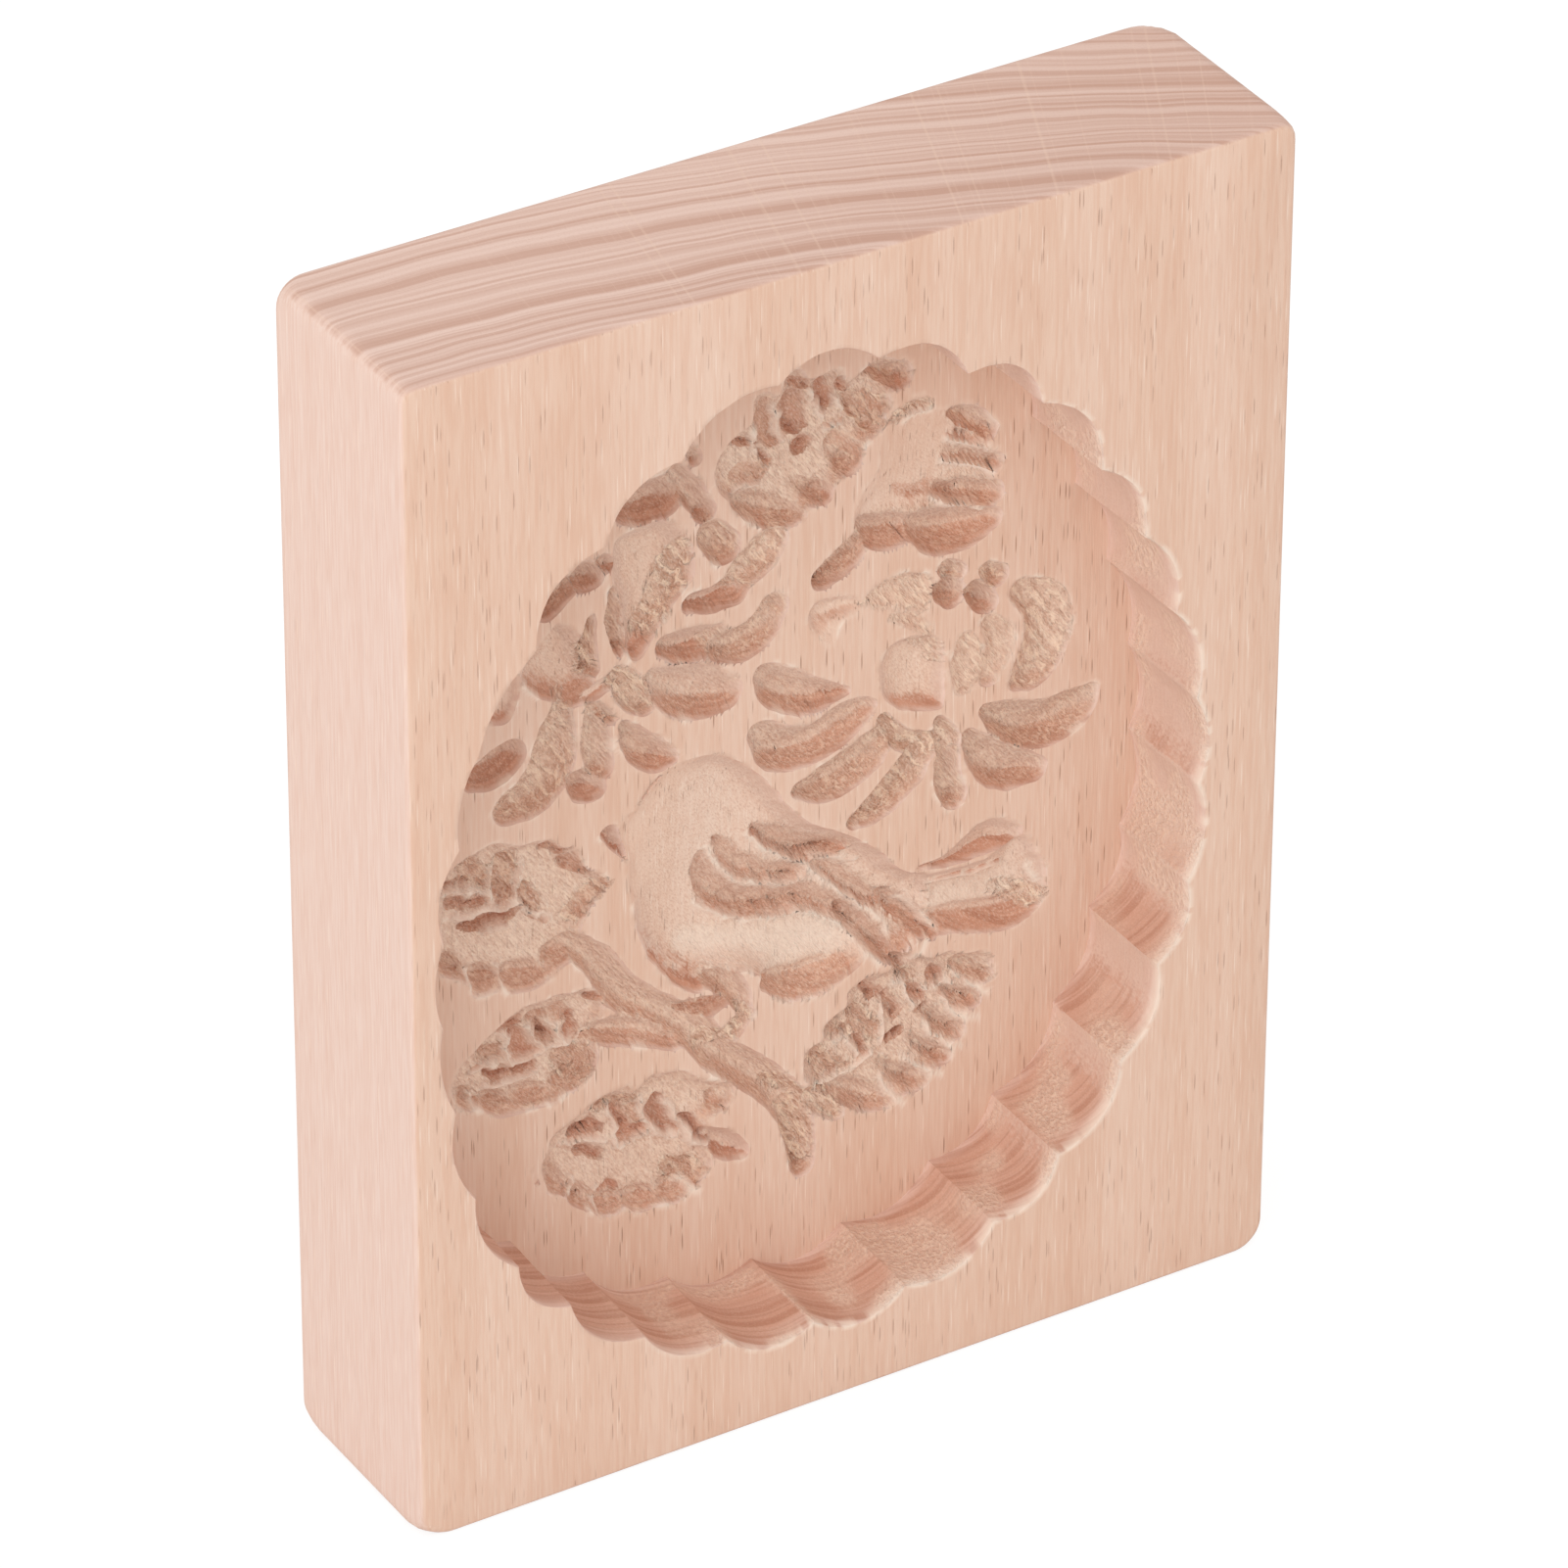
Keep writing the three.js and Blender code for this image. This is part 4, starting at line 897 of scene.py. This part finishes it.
def draw_onto_edges(x, z, movable):
    """Draws points beside a rim, a valley or a crest onto it, so that it is crisp."""
    step = 0.05
    for _ in range(2):
        mx, mz = x[movable], z[movable]
        here = carve(mx, mz).edge
        close = np.abs(here) < DRAW_REACH
        idx = movable[close]
        mx, mz, here = mx[close], mz[close], here[close]
        gap_x = (carve(mx + step, mz).edge - carve(mx - step, mz).edge) / (2 * step)
        gap_z = (carve(mx, mz + step).edge - carve(mx, mz - step).edge) / (2 * step)
        size = np.maximum(gap_x * gap_x + gap_z * gap_z, 0.3)
        shift = np.clip(here / size, -DRAW_MOST, DRAW_MOST)
        x[idx] -= shift * gap_x
        z[idx] -= shift * gap_z


def extrude_sides(bm, border, around, ease):
    """Extrudes the border round the board's edges and down its sides, and closes the back."""
    bends = [math.radians(30 * k) for k in range(4)]
    profile = [(ease * (1 - math.sin(a)), FRONT + ease * (1 - math.cos(a))) for a in bends[1:]]
    profile += [(0.0, FRONT + reach) for reach in SIDE_LOOPS]
    profile += [(0.0, BACK - reach) for reach in reversed(SIDE_LOOPS)]
    profile += [(ease * (1 - math.cos(a)), BACK - ease + ease * math.sin(a)) for a in bends]
    profile.append((BACK_INSET, BACK))
    for inset, py in profile:
        made = bmesh.ops.extrude_edge_only(bm, edges=border)['geom']
        fresh = [g for g in made if isinstance(g, bmesh.types.BMVert)]
        border = [g for g in made if isinstance(g, bmesh.types.BMEdge)]
        rx, rz = on_board(np.array([v[around] for v in fresh]), inset, py)
        for v, px, pz in zip(fresh, rx, rz):
            v.co = (px / MM, py / MM, pz / MM)
    bmesh.ops.contextual_create(bm, geom=border, mat_nr=0)
    bmesh.ops.recalc_face_normals(bm, faces=bm.faces[:])


def build_block(sizes):
    """The board as one mesh: a square grid drawn into the recess floor, wall and rim, then
    its border extruded round the edges and sides to the back."""
    floor_y = FRONT + sizes.recess_depth * MM
    ease = sizes.edge_ease * MM
    oval = Outline(sizes.scallop_rise)
    total = FLOOR_RINGS + WALL_RINGS + BORDER_RINGS
    bm = bmesh.new()
    bmesh.ops.create_grid(bm, x_segments=2 * total, y_segments=2 * total, size=1.0)
    co = np.array([v.co[:2] for v in bm.verts])
    col, row = np.round((co + 1) * total).astype(int).T
    ring, turn = (grid[row, col] for grid in ring_layout(total))
    turn = match_columns(oval.at[:-1], turn)
    ex, ez = oval.smooth(turn)
    gx, gz = oval.scalloped(turn)
    nx, nz = oval.normal(turn)
    angle = np.arctan2(gz - CENTRE[1], gx - CENTRE[0])
    far_round = turn * OUTLINE_LENGTH

    # Floor
    share = np.minimum(ring / FLOOR_RINGS, 1.0)
    swell = smoothstep(SWELL_FROM, 1.0, share)
    x = CENTRE[0] + share * (ex - DRAFT * nx - CENTRE[0]) + swell * (gx - ex)
    z = CENTRE[1] + share * (ez - DRAFT * nz - CENTRE[1]) + swell * (gz - ez)
    y = np.full(len(x), floor_y)
    on_floor = ring <= FLOOR_RINGS
    draw_onto_edges(x, z, np.flatnonzero(ring < FLOOR_RINGS - 1))
    picture = carve(x[on_floor], z[on_floor])

    def on_grid(values, elsewhere=0.0):
        """Values of the floor's points, with one value for all the others."""
        full = np.full(len(x), elsewhere)
        full[on_floor] = values
        return full

    # Torn grain stands up and breaks away where the gouge crossed the fibres
    depth = on_grid(picture.depth * sizes.carving)
    torn = on_grid(picture.rough) * sizes.roughness
    ripple = value_noise(0.82 * x + 0.57 * z, 0.25 * (0.82 * z - 0.57 * x), 0.5, 3) - 0.5
    fine = value_noise(x, z, 0.45, 1) - 0.5
    depth += np.where(depth > 0.2, torn * (RIPPLE * ripple + GRAIN * fine), 0.0)
    soft = value_noise(x, z, 2.2, 4) - 0.5
    depth += np.where(depth > 0.3, SOFTNESS * soft, 0.0)
    wander = WANDER * (value_noise(x, z, 9.0, 5) - 0.5)
    y[on_floor] += np.maximum(depth, 0)[on_floor] + wander[on_floor]

    # Wall
    level = np.clip((ring - FLOOR_RINGS) / WALL_RINGS, 0.0, 1.0)
    on_wall = (ring > FLOOR_RINGS) & (ring <= FLOOR_RINGS + WALL_RINGS)
    waver = WAVER * (value_noise(far_round, level * 9, 1.6, 6) - 0.5) * np.sin(math.pi * level)
    x[on_wall] = (gx + (waver - DRAFT * (1 - level)) * nx)[on_wall]
    z[on_wall] = (gz + (waver - DRAFT * (1 - level)) * nz)[on_wall]
    y[on_wall] = (floor_y + (FRONT + BROKEN_EDGE - floor_y) * level)[on_wall]

    # Border from the wall's broken edge out to the board's edge
    step_out = ring - FLOOR_RINGS - WALL_RINGS
    on_rim = step_out > 0
    bx, bz = on_board(angle, ease, FRONT)
    chip = 0.05 + 0.12 * value_noise(far_round, turn * 0, 1.1, 7)
    lip = np.where(step_out == 1, chip, LIP)
    lx = gx + lip * nx
    lz = gz + lip * nz
    spread = np.clip((step_out - 2) / (BORDER_RINGS - 2), 0.0, 1.0)
    x[on_rim] = (lx + (bx - lx) * spread)[on_rim]
    z[on_rim] = (lz + (bz - lz) * spread)[on_rim]
    y[on_rim] = FRONT

    around = bm.verts.layers.float.new("around")
    for v, px, py, pz, a in zip(bm.verts, x, y, z, angle):
        v.co = (px / MM, py / MM, pz / MM)
        v[around] = a
    extrude_sides(bm, [e for e in bm.edges if e.is_boundary], around, ease)
    mesh = bpy.data.meshes.new("carved_block")
    bm.to_mesh(mesh)
    bm.free()

    # What the wood shows where: cut depth, the darker paint deep in small cuts, partly end grain and partly
    # painted shade, torn grain, and pale fibres on the rims
    edge_noise = value_noise(x, z, 0.7, 8)
    side = smoothstep(-0.2, 0.6, nx * 0.9 - nz * 0.6)
    wall_torn = side * smoothstep(0.35, 0.75, value_noise(far_round, level * 11, 3.2, 9)) * on_wall
    tuft = smoothstep(0.6, 0.8, value_noise(x, z, 2.6, 10))
    lips = np.exp(-np.abs(on_grid(picture.rim, FAR)) / 0.17)
    lips = (0.25 + 0.75 * tuft) * lips * smoothstep(0.35, 0.7, edge_noise)
    brink = ((step_out == 0) | (step_out == 1)) * side * smoothstep(0.2, 0.5, edge_noise)
    wall_carved = 0.28 * (1 - smoothstep(0.8, 1.0, level)) + 0.07
    for name, values in (
            ("carved", np.where(on_wall, wall_carved, np.clip(depth / 1.2, 0, 1))),
            ("tint", on_grid(picture.tint)),
            ("torn", np.clip(torn * (depth > 0.15) + 0.45 * wall_torn, 0, 1)),
            ("fibre", np.clip(lips + brink + 0.35 * wall_torn + 1.2 * on_grid(picture.pale), 0, 1))):
        data = np.zeros(len(mesh.vertices), np.float32)
        data[:len(values)] = values
        mesh.attributes.new(name, 'FLOAT', 'POINT').data.foreach_set("value", data)
    return mesh


# Wood

def paint(value):
    """A colour as a socket takes it. A socket's own output is passed on."""
    return value if hasattr(value, "links") else (*value, 1.0)


class Nodes:
    """Short calls for laying out a material or a world."""

    def __init__(self, owner):
        owner.use_nodes = True
        self.tree = owner.node_tree
        self.tree.nodes.clear()
        self.column = 0

    def add(self, kind, values=(), **settings):
        """A node with its settings, and with its inputs linked or set to the values given."""
        node = self.tree.nodes.new(kind)
        self.column += 1
        node.location = (180 * (self.column % 12), -260 * (self.column // 12))
        for key, value in settings.items():
            setattr(node, key, value)
        for key, value in dict(values).items():
            if hasattr(value, "links"):
                self.tree.links.new(value, node.inputs[key])
            else:
                node.inputs[key].default_value = value
        return node

    def mapping(self, vector, scale, location=(0, 0, 0)):
        values = {"Scale": scale, "Location": location, "Vector": vector}
        return self.add("ShaderNodeMapping", values).outputs[0]

    def slanted(self, vector, size, tilt=GOUGE_LEAN):
        """Coordinates for a pattern of the given size in millimetres, tilted in the front's plane."""
        values = {"Scale": size, "Rotation": (0.0, tilt, 0.0), "Vector": vector}
        return self.add("ShaderNodeMapping", values, vector_type='TEXTURE').outputs[0]

    def noise(self, vector, detail=2.0, roughness=0.5):
        values = {"Scale": 1.0, "Detail": detail, "Roughness": roughness, "Vector": vector}
        return self.add("ShaderNodeTexNoise", values).outputs["Fac"]

    def math(self, operation, a, b=0.0, clamp=False):
        return self.add("ShaderNodeMath", {0: a, 1: b}, operation=operation, use_clamp=clamp).outputs[0]

    def times(self, a, b, clamp=False):
        return self.math('MULTIPLY', a, b, clamp)

    def plus(self, a, b, clamp=False):
        return self.math('ADD', a, b, clamp)

    def minus(self, a, b, clamp=False):
        return self.math('SUBTRACT', a, b, clamp)

    def step(self, value, low, high, to_low=0.0, to_high=1.0):
        values = {"From Min": low, "From Max": high, "To Min": to_low, "To Max": to_high, "Value": value}
        return self.add("ShaderNodeMapRange", values, interpolation_type='SMOOTHSTEP').outputs[0]

    def mix(self, factor, a, b, blend='MIX'):
        values = {0: factor, 6: paint(a), 7: paint(b)}
        return self.add("ShaderNodeMix", values, data_type='RGBA', blend_type=blend).outputs[2]

    def mix_shaders(self, factor, a, b):
        return self.add("ShaderNodeMixShader", {0: factor, 1: a, 2: b}).outputs[0]

    def dashes(self, vector, low, high):
        """Thin short lines: the cells' middles, drawn out by the vector's own scale."""
        cells = self.add("ShaderNodeTexVoronoi", {"Scale": 1.0, "Vector": vector})
        return self.step(cells.outputs["Distance"], low, high, 1.0, 0.0)

    def attribute(self, name):
        return self.add("ShaderNodeAttribute", attribute_name=name).outputs["Fac"]

    def split(self, vector):
        return self.add("ShaderNodeSeparateXYZ", {0: vector}).outputs


def beech_material(wood):
    material = bpy.data.materials.new("beech")
    n = Nodes(material)
    place = n.add("ShaderNodeTexCoord").outputs
    point = n.mapping(place["Object"], (MM, MM, MM))
    px, py, pz = n.split(point)
    facing_x, facing_y, facing_z = n.split(place["Normal"])
    end = n.step(n.math('ABSOLUTE', facing_z), 0.35, 0.85)
    flank = n.step(n.math('ABSOLUTE', facing_x), 0.4, 0.9)
    carved = n.attribute("carved")
    torn = n.attribute("torn")

    # Broad streaks and fine grain, long along Z
    streak = n.noise(n.mapping(point, (0.16, 0.16, 0.008)), 3.0)
    base = n.mix(n.step(streak, 0.35, 0.65), wood.face, wood.face_warm)
    base = n.mix(flank, base, wood.side)
    fine = n.noise(n.mapping(point, (3.6, 3.6, 0.17)), 2.0, 0.6)
    base = n.mix(n.step(fine, 0.32, 0.68, 0.0, 0.24), base, wood.face_warm, 'MULTIPLY')

    # Short dark flecks and light hairs on the faces cut along the grain
    strength = n.noise(n.mapping(point, (0.5, 0.5, 0.12)), 1.0)
    along = n.minus(1.0, end, True)
    faint = n.minus(1.0, n.times(flank, 0.8))
    dash = n.dashes(n.mapping(point, (3.1, 3.1, 0.19)), 0.1, 0.23)
    dash = n.times(dash, n.step(strength, 0.3, 0.7, 0.2, 0.9))
    dash = n.times(n.times(dash, along), faint)
    hair = n.dashes(n.mapping(point, (2.7, 2.7, 0.12), (7.3, 3.1, 5.7)), 0.1, 0.22)
    base = n.mix(n.times(n.times(hair, along), 0.6), base, wood.hair)
    base = n.mix(n.times(dash, n.step(py, -10.6, -6.0, 0.5, 0.95)), base, wood.fleck)

    # End grain: growth rings about a far centre, and rays across them. It is darker towards the right and
    # the front.
    rx = n.plus(px, PITH[0])
    ry = n.plus(py, PITH[1])
    radius = n.math('SQRT', n.plus(n.times(rx, rx), n.times(ry, ry)))
    sway = n.noise(n.mapping(point, (0.05, 0.05, 0.01)))
    radius = n.plus(radius, n.times(sway, 3.0))
    rings = n.step(n.noise(n.mapping(radius, (0.55, 0.55, 0.55)), 3.0, 0.65), 0.36, 0.68)
    pores = n.noise(n.mapping(point, (5.0, 5.0, 0.6)))
    turn = n.math('ARCTAN2', ry, rx)
    rays = n.noise(n.mapping(n.times(turn, PITH[1]), (1.8, 1.8, 1.8)))
    darker_to_right = n.step(n.minus(px, n.times(py, 2.5)), -40.0, 60.0)
    ringed = n.plus(n.times(rings, 0.85), n.times(darker_to_right, 0.35), True)
    sawn = n.mix(ringed, wood.end, wood.end_dark)
    sawn = n.mix(n.step(rays, 0.55, 0.75, 0.0, 0.35), sawn, wood.face)
    sawn = n.mix(n.step(pores, 0.5, 0.8, 0.0, 0.3), sawn, wood.end_dark)
    base = n.mix(end, base, sawn)

    # Rings show faintly on the faces as well
    base = n.mix(n.times(rings, 0.10), base, wood.face_warm, 'MULTIPLY')

    # Torn grain: chatter across the cut where it is strong, and short fibres elsewhere
    chatter = n.add(
        "ShaderNodeTexWave",
        {"Vector": n.slanted(point, (4.2, 3.0, 8.0), -0.62), "Scale": 1.0, "Distortion": 8.0, "Detail": 3.0,
         "Detail Scale": 3.0, "Detail Roughness": 0.62},
        wave_type='BANDS', bands_direction='X').outputs["Fac"]
    fibres = n.step(n.noise(n.slanted(point, (0.3, 0.5, 1.2)), 2.0, 0.55), 0.3, 0.7)
    patch = n.noise(n.mapping(point, (0.4, 0.4, 0.3)))
    much = n.times(n.step(torn, 0.45, 0.9), n.step(patch, 0.35, 0.6, 0.35, 0.9))
    rag = n.plus(fibres, n.times(much, n.minus(chatter, fibres)))

    # Inside the cuts, walls that face up are dark end grain, and the slopes that face down are painted
    # duller and darker, partly as painted shade
    growth = n.noise(n.mapping(radius, (1.1, 1.1, 1.1), (3.7, 0, 0)))
    gouged = n.mix(n.step(growth, 0.42, 0.6), wood.cut, wood.cut_dark)
    jitter = n.times(n.minus(rag, 0.5), 0.3)
    turned = n.plus(n.minus(facing_z, n.times(torn, 0.12)), jitter)
    upward = n.times(n.step(turned, 0.08, 0.55), n.step(carved, 0.05, 0.6), True)
    tilt = n.minus(1.0, n.math('ABSOLUTE', facing_y))
    # slope_shade: painted shade, in part, on the tilted surfaces of the cuts
    slope_shade = n.times(n.step(tilt, 0.02, 0.2), n.step(carved, 0.1, 0.5), True)
    gentle = n.times(n.step(tilt, 0.12, 0.02), carved, True)
    base = n.mix(n.times(gentle, 0.2), base, wood.fuzz)
    base = n.mix(n.times(slope_shade, 0.8), base, wood.slope)
    base = n.mix(n.times(upward, n.minus(0.9, n.times(torn, 0.4))), base, gouged)
    late = n.times(n.step(growth, 0.46, 0.62, 0.0, 0.36), n.step(facing_z, 0.15, 0.65))
    late = n.times(late, n.step(carved, 0.01, 0.07))
    late = n.times(late, n.step(torn, 0.1, 0.4, 1.0, 0.2))
    base = n.mix(late, base, wood.cut_dark)

    # Torn grain is ragged, leaning to the left: light splinters on its crests, partly painted highlight, and
    # dark in its gaps and pits, partly painted shade
    speck = n.noise(n.slanted(point, (0.3, 0.4, 0.9)), 2.0, 0.6)
    ragged = n.mix(0.55, base, wood.torn)
    ragged = n.mix(n.step(rag, 0.48, 0.9, 0.0, 0.85), ragged, wood.splinter_and_highlight)
    ragged = n.mix(n.step(rag, 0.4, 0.05, 0.0, 0.5), ragged, wood.torn_dark_and_gap_shade)
    ragged = n.mix(n.step(speck, 0.38, 0.28, 0.0, 0.5), ragged, wood.torn_dark_and_gap_shade)
    base = n.mix(torn, base, ragged)
    # Deep in small cells, feathers and bud cuts the gouged colour is painted in: partly end grain, partly
    # painted shade
    base = n.mix(n.attribute("tint"), base, gouged)

    # Stipple of small light and dark points in every cut, and pale fibres on the rims
    stipple = n.noise(n.slanted(point, (0.13, 0.2, 0.34)), 1.0)
    base = n.mix(n.times(n.step(stipple, 0.5, 0.68, 0.0, 0.28), carved), base, wood.fuzz)
    base = n.mix(n.times(n.step(stipple, 0.46, 0.3, 0.0, 0.26), carved), base, wood.torn_dark_and_gap_shade)
    base = n.mix(n.times(n.attribute("fibre"), 0.7, True), base, wood.fuzz)

    # Relief too fine for the mesh
    relief = n.minus(n.times(fine, 0.03), n.times(dash, 0.05))
    grit = n.plus(torn, n.times(carved, 0.35))
    rough = n.plus(n.times(n.times(rag, 0.22), torn), n.times(n.times(speck, 0.2), grit))
    bump = n.add("ShaderNodeBump", {"Strength": 1.0, "Distance": 1.0 / MM, "Height": n.plus(relief, rough)})
    shader = n.add("ShaderNodeBsdfPrincipled", {
        "Base Color": base, "Roughness": n.step(fine, 0.2, 0.8, 0.66, 0.8), "IOR": 1.45,
        "Specular IOR Level": 0.25, "Normal": bump.outputs[0]})
    n.add("ShaderNodeOutputMaterial", {"Surface": shader.outputs[0]})
    return material


# Stage

def photo_camera():
    az = math.radians(CAMERA_AZIMUTH)
    el = math.radians(CAMERA_ELEVATION)
    roll = math.radians(CAMERA_ROLL)
    ahead = Vector((math.sin(az) * math.cos(el), math.cos(az) * math.cos(el), -math.sin(el)))
    right = Vector((math.cos(az), -math.sin(az), 0.0))
    up = right.cross(ahead)
    right_rolled = math.cos(roll) * right + math.sin(roll) * up
    up_rolled = -math.sin(roll) * right + math.cos(roll) * up
    data = bpy.data.cameras.new("photo_camera")
    data.sensor_fit = 'HORIZONTAL'
    data.sensor_width = 36.0
    data.lens = FOCAL_MM
    data.clip_start = 0.01
    data.clip_end = 20.0
    camera = bpy.data.objects.new("photo_camera", data)
    bpy.context.scene.collection.objects.link(camera)
    turn = Matrix((right_rolled, up_rolled, -ahead)).transposed()
    camera.matrix_world = Matrix.Translation(Vector(CAMERA_TARGET) - CAMERA_DISTANCE * ahead) @ turn.to_4x4()
    bpy.context.scene.camera = camera


def area_lamp(name, power, size, position, aim=(0.0, 0.0, 0.06)):
    data = bpy.data.lights.new(name, 'AREA')
    data.shape = 'SQUARE'
    data.size = size
    data.energy = power
    lamp = bpy.data.objects.new(name, data)
    bpy.context.scene.collection.objects.link(lamp)
    lamp.location = position
    direction = Vector(aim) - Vector(position)
    lamp.rotation_euler = direction.to_track_quat('-Z', 'Y').to_euler()


def plain_world(level):
    """Even white light from all round. Seen straight, in gloss or through glass it is white."""
    world = bpy.data.worlds.new("plain_world")
    bpy.context.scene.world = world
    n = Nodes(world)
    rays = n.add("ShaderNodeLightPath").outputs
    seen = n.math('MAXIMUM', rays["Is Camera Ray"], rays["Is Glossy Ray"])
    seen = n.math('MAXIMUM', seen, rays["Is Transmission Ray"])
    lit, shown = (n.add("ShaderNodeBackground", {"Strength": strength, "Color": paint(WHITE)}).outputs[0]
                  for strength in (level, 1.0))
    n.add("ShaderNodeOutputWorld", {"Surface": n.mix_shaders(seen, lit, shown)})


def floor_material(shade):
    """A pale floor that the camera sees as near white, with the object's shadow kept."""
    material = bpy.data.materials.new("pale_floor")
    n = Nodes(material)
    matt = n.add("ShaderNodeBsdfDiffuse", {"Color": paint(shade)}).outputs[0]
    glow = n.add("ShaderNodeEmission", {"Strength": FLOOR_GLOW}).outputs[0]
    seen = n.times(n.add("ShaderNodeLightPath").outputs["Is Camera Ray"], FLOOR_GLOW_SHARE)
    n.add("ShaderNodeOutputMaterial", {"Surface": n.mix_shaders(seen, matt, glow)})
    return material


class OBJECT_OT_mould_block(bpy.types.Operator):
    """Carve the beech board with its scalloped recess and picture"""
    bl_idname = "object.mould_block_add"
    bl_label = "Carved Block"

    def execute(self, context):
        mesh = build_block(context.scene.mould_sizes)
        mesh.shade_smooth()
        mesh.set_sharp_from_angle(angle=SHARP_ANGLE)
        mesh.materials.append(beech_material(context.scene.mould_wood))
        block = bpy.data.objects.new("carved_block", mesh)
        context.scene.collection.objects.link(block)
        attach(block, "root")
        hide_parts(NODE)
        return {'FINISHED'}


class OBJECT_OT_mould_stage(bpy.types.Operator):
    """Set the camera, the lamps, the pale floor and the white surroundings"""
    bl_idname = "object.mould_stage_add"
    bl_label = "Stage"

    def execute(self, context):
        stage = context.scene.mould_stage
        photo_camera()
        area_lamp("key_lamp", stage.key_power, 0.7, (-0.8, -0.55, 0.6))
        area_lamp("fill_lamp", stage.fill_power, 0.8, (0.75, -0.6, 0.35))
        plain_world(stage.ambient)
        bm = bmesh.new()
        bmesh.ops.create_grid(bm, x_segments=4, y_segments=4, size=FLOOR_HALF)
        mesh = bpy.data.meshes.new("stage_floor")
        bm.to_mesh(mesh)
        bm.free()
        mesh.materials.append(floor_material(stage.floor))
        floor = bpy.data.objects.new("stage_floor", mesh)
        context.scene.collection.objects.link(floor)
        context.scene.view_settings.view_transform = 'Standard'
        return {'FINISHED'}


class VIEW3D_PT_cookie_mould(bpy.types.Panel):
    """The mould's sizes, colours and pieces"""
    bl_label = "Cookie Mould"
    bl_idname = "VIEW3D_PT_cookie_mould"
    bl_space_type = 'VIEW_3D'
    bl_region_type = 'UI'
    bl_category = "Cookie Mould"

    def draw(self, context):
        layout = self.layout
        for group in (context.scene.mould_sizes, context.scene.mould_wood, context.scene.mould_stage):
            box = layout.box()
            for name in group.__annotations__:
                box.prop(group, name)
        layout.operator(OBJECT_OT_mould_block.bl_idname)
        layout.operator(OBJECT_OT_mould_stage.bl_idname)


CLASSES = (MouldSizes, WoodColours, StageSettings, OBJECT_OT_mould_block, OBJECT_OT_mould_stage,
           VIEW3D_PT_cookie_mould)


def register():
    for cls in CLASSES:
        bpy.utils.register_class(cls)
    bpy.types.Scene.mould_sizes = bpy.props.PointerProperty(type=MouldSizes)
    bpy.types.Scene.mould_wood = bpy.props.PointerProperty(type=WoodColours)
    bpy.types.Scene.mould_stage = bpy.props.PointerProperty(type=StageSettings)


def unregister():
    del bpy.types.Scene.mould_stage
    del bpy.types.Scene.mould_wood
    del bpy.types.Scene.mould_sizes
    for cls in reversed(CLASSES):
        bpy.utils.unregister_class(cls)


def main():
    register()
    bpy.ops.object.mould_block_add()
    bpy.ops.object.mould_stage_add()


if __name__ == "__main__":
    main()
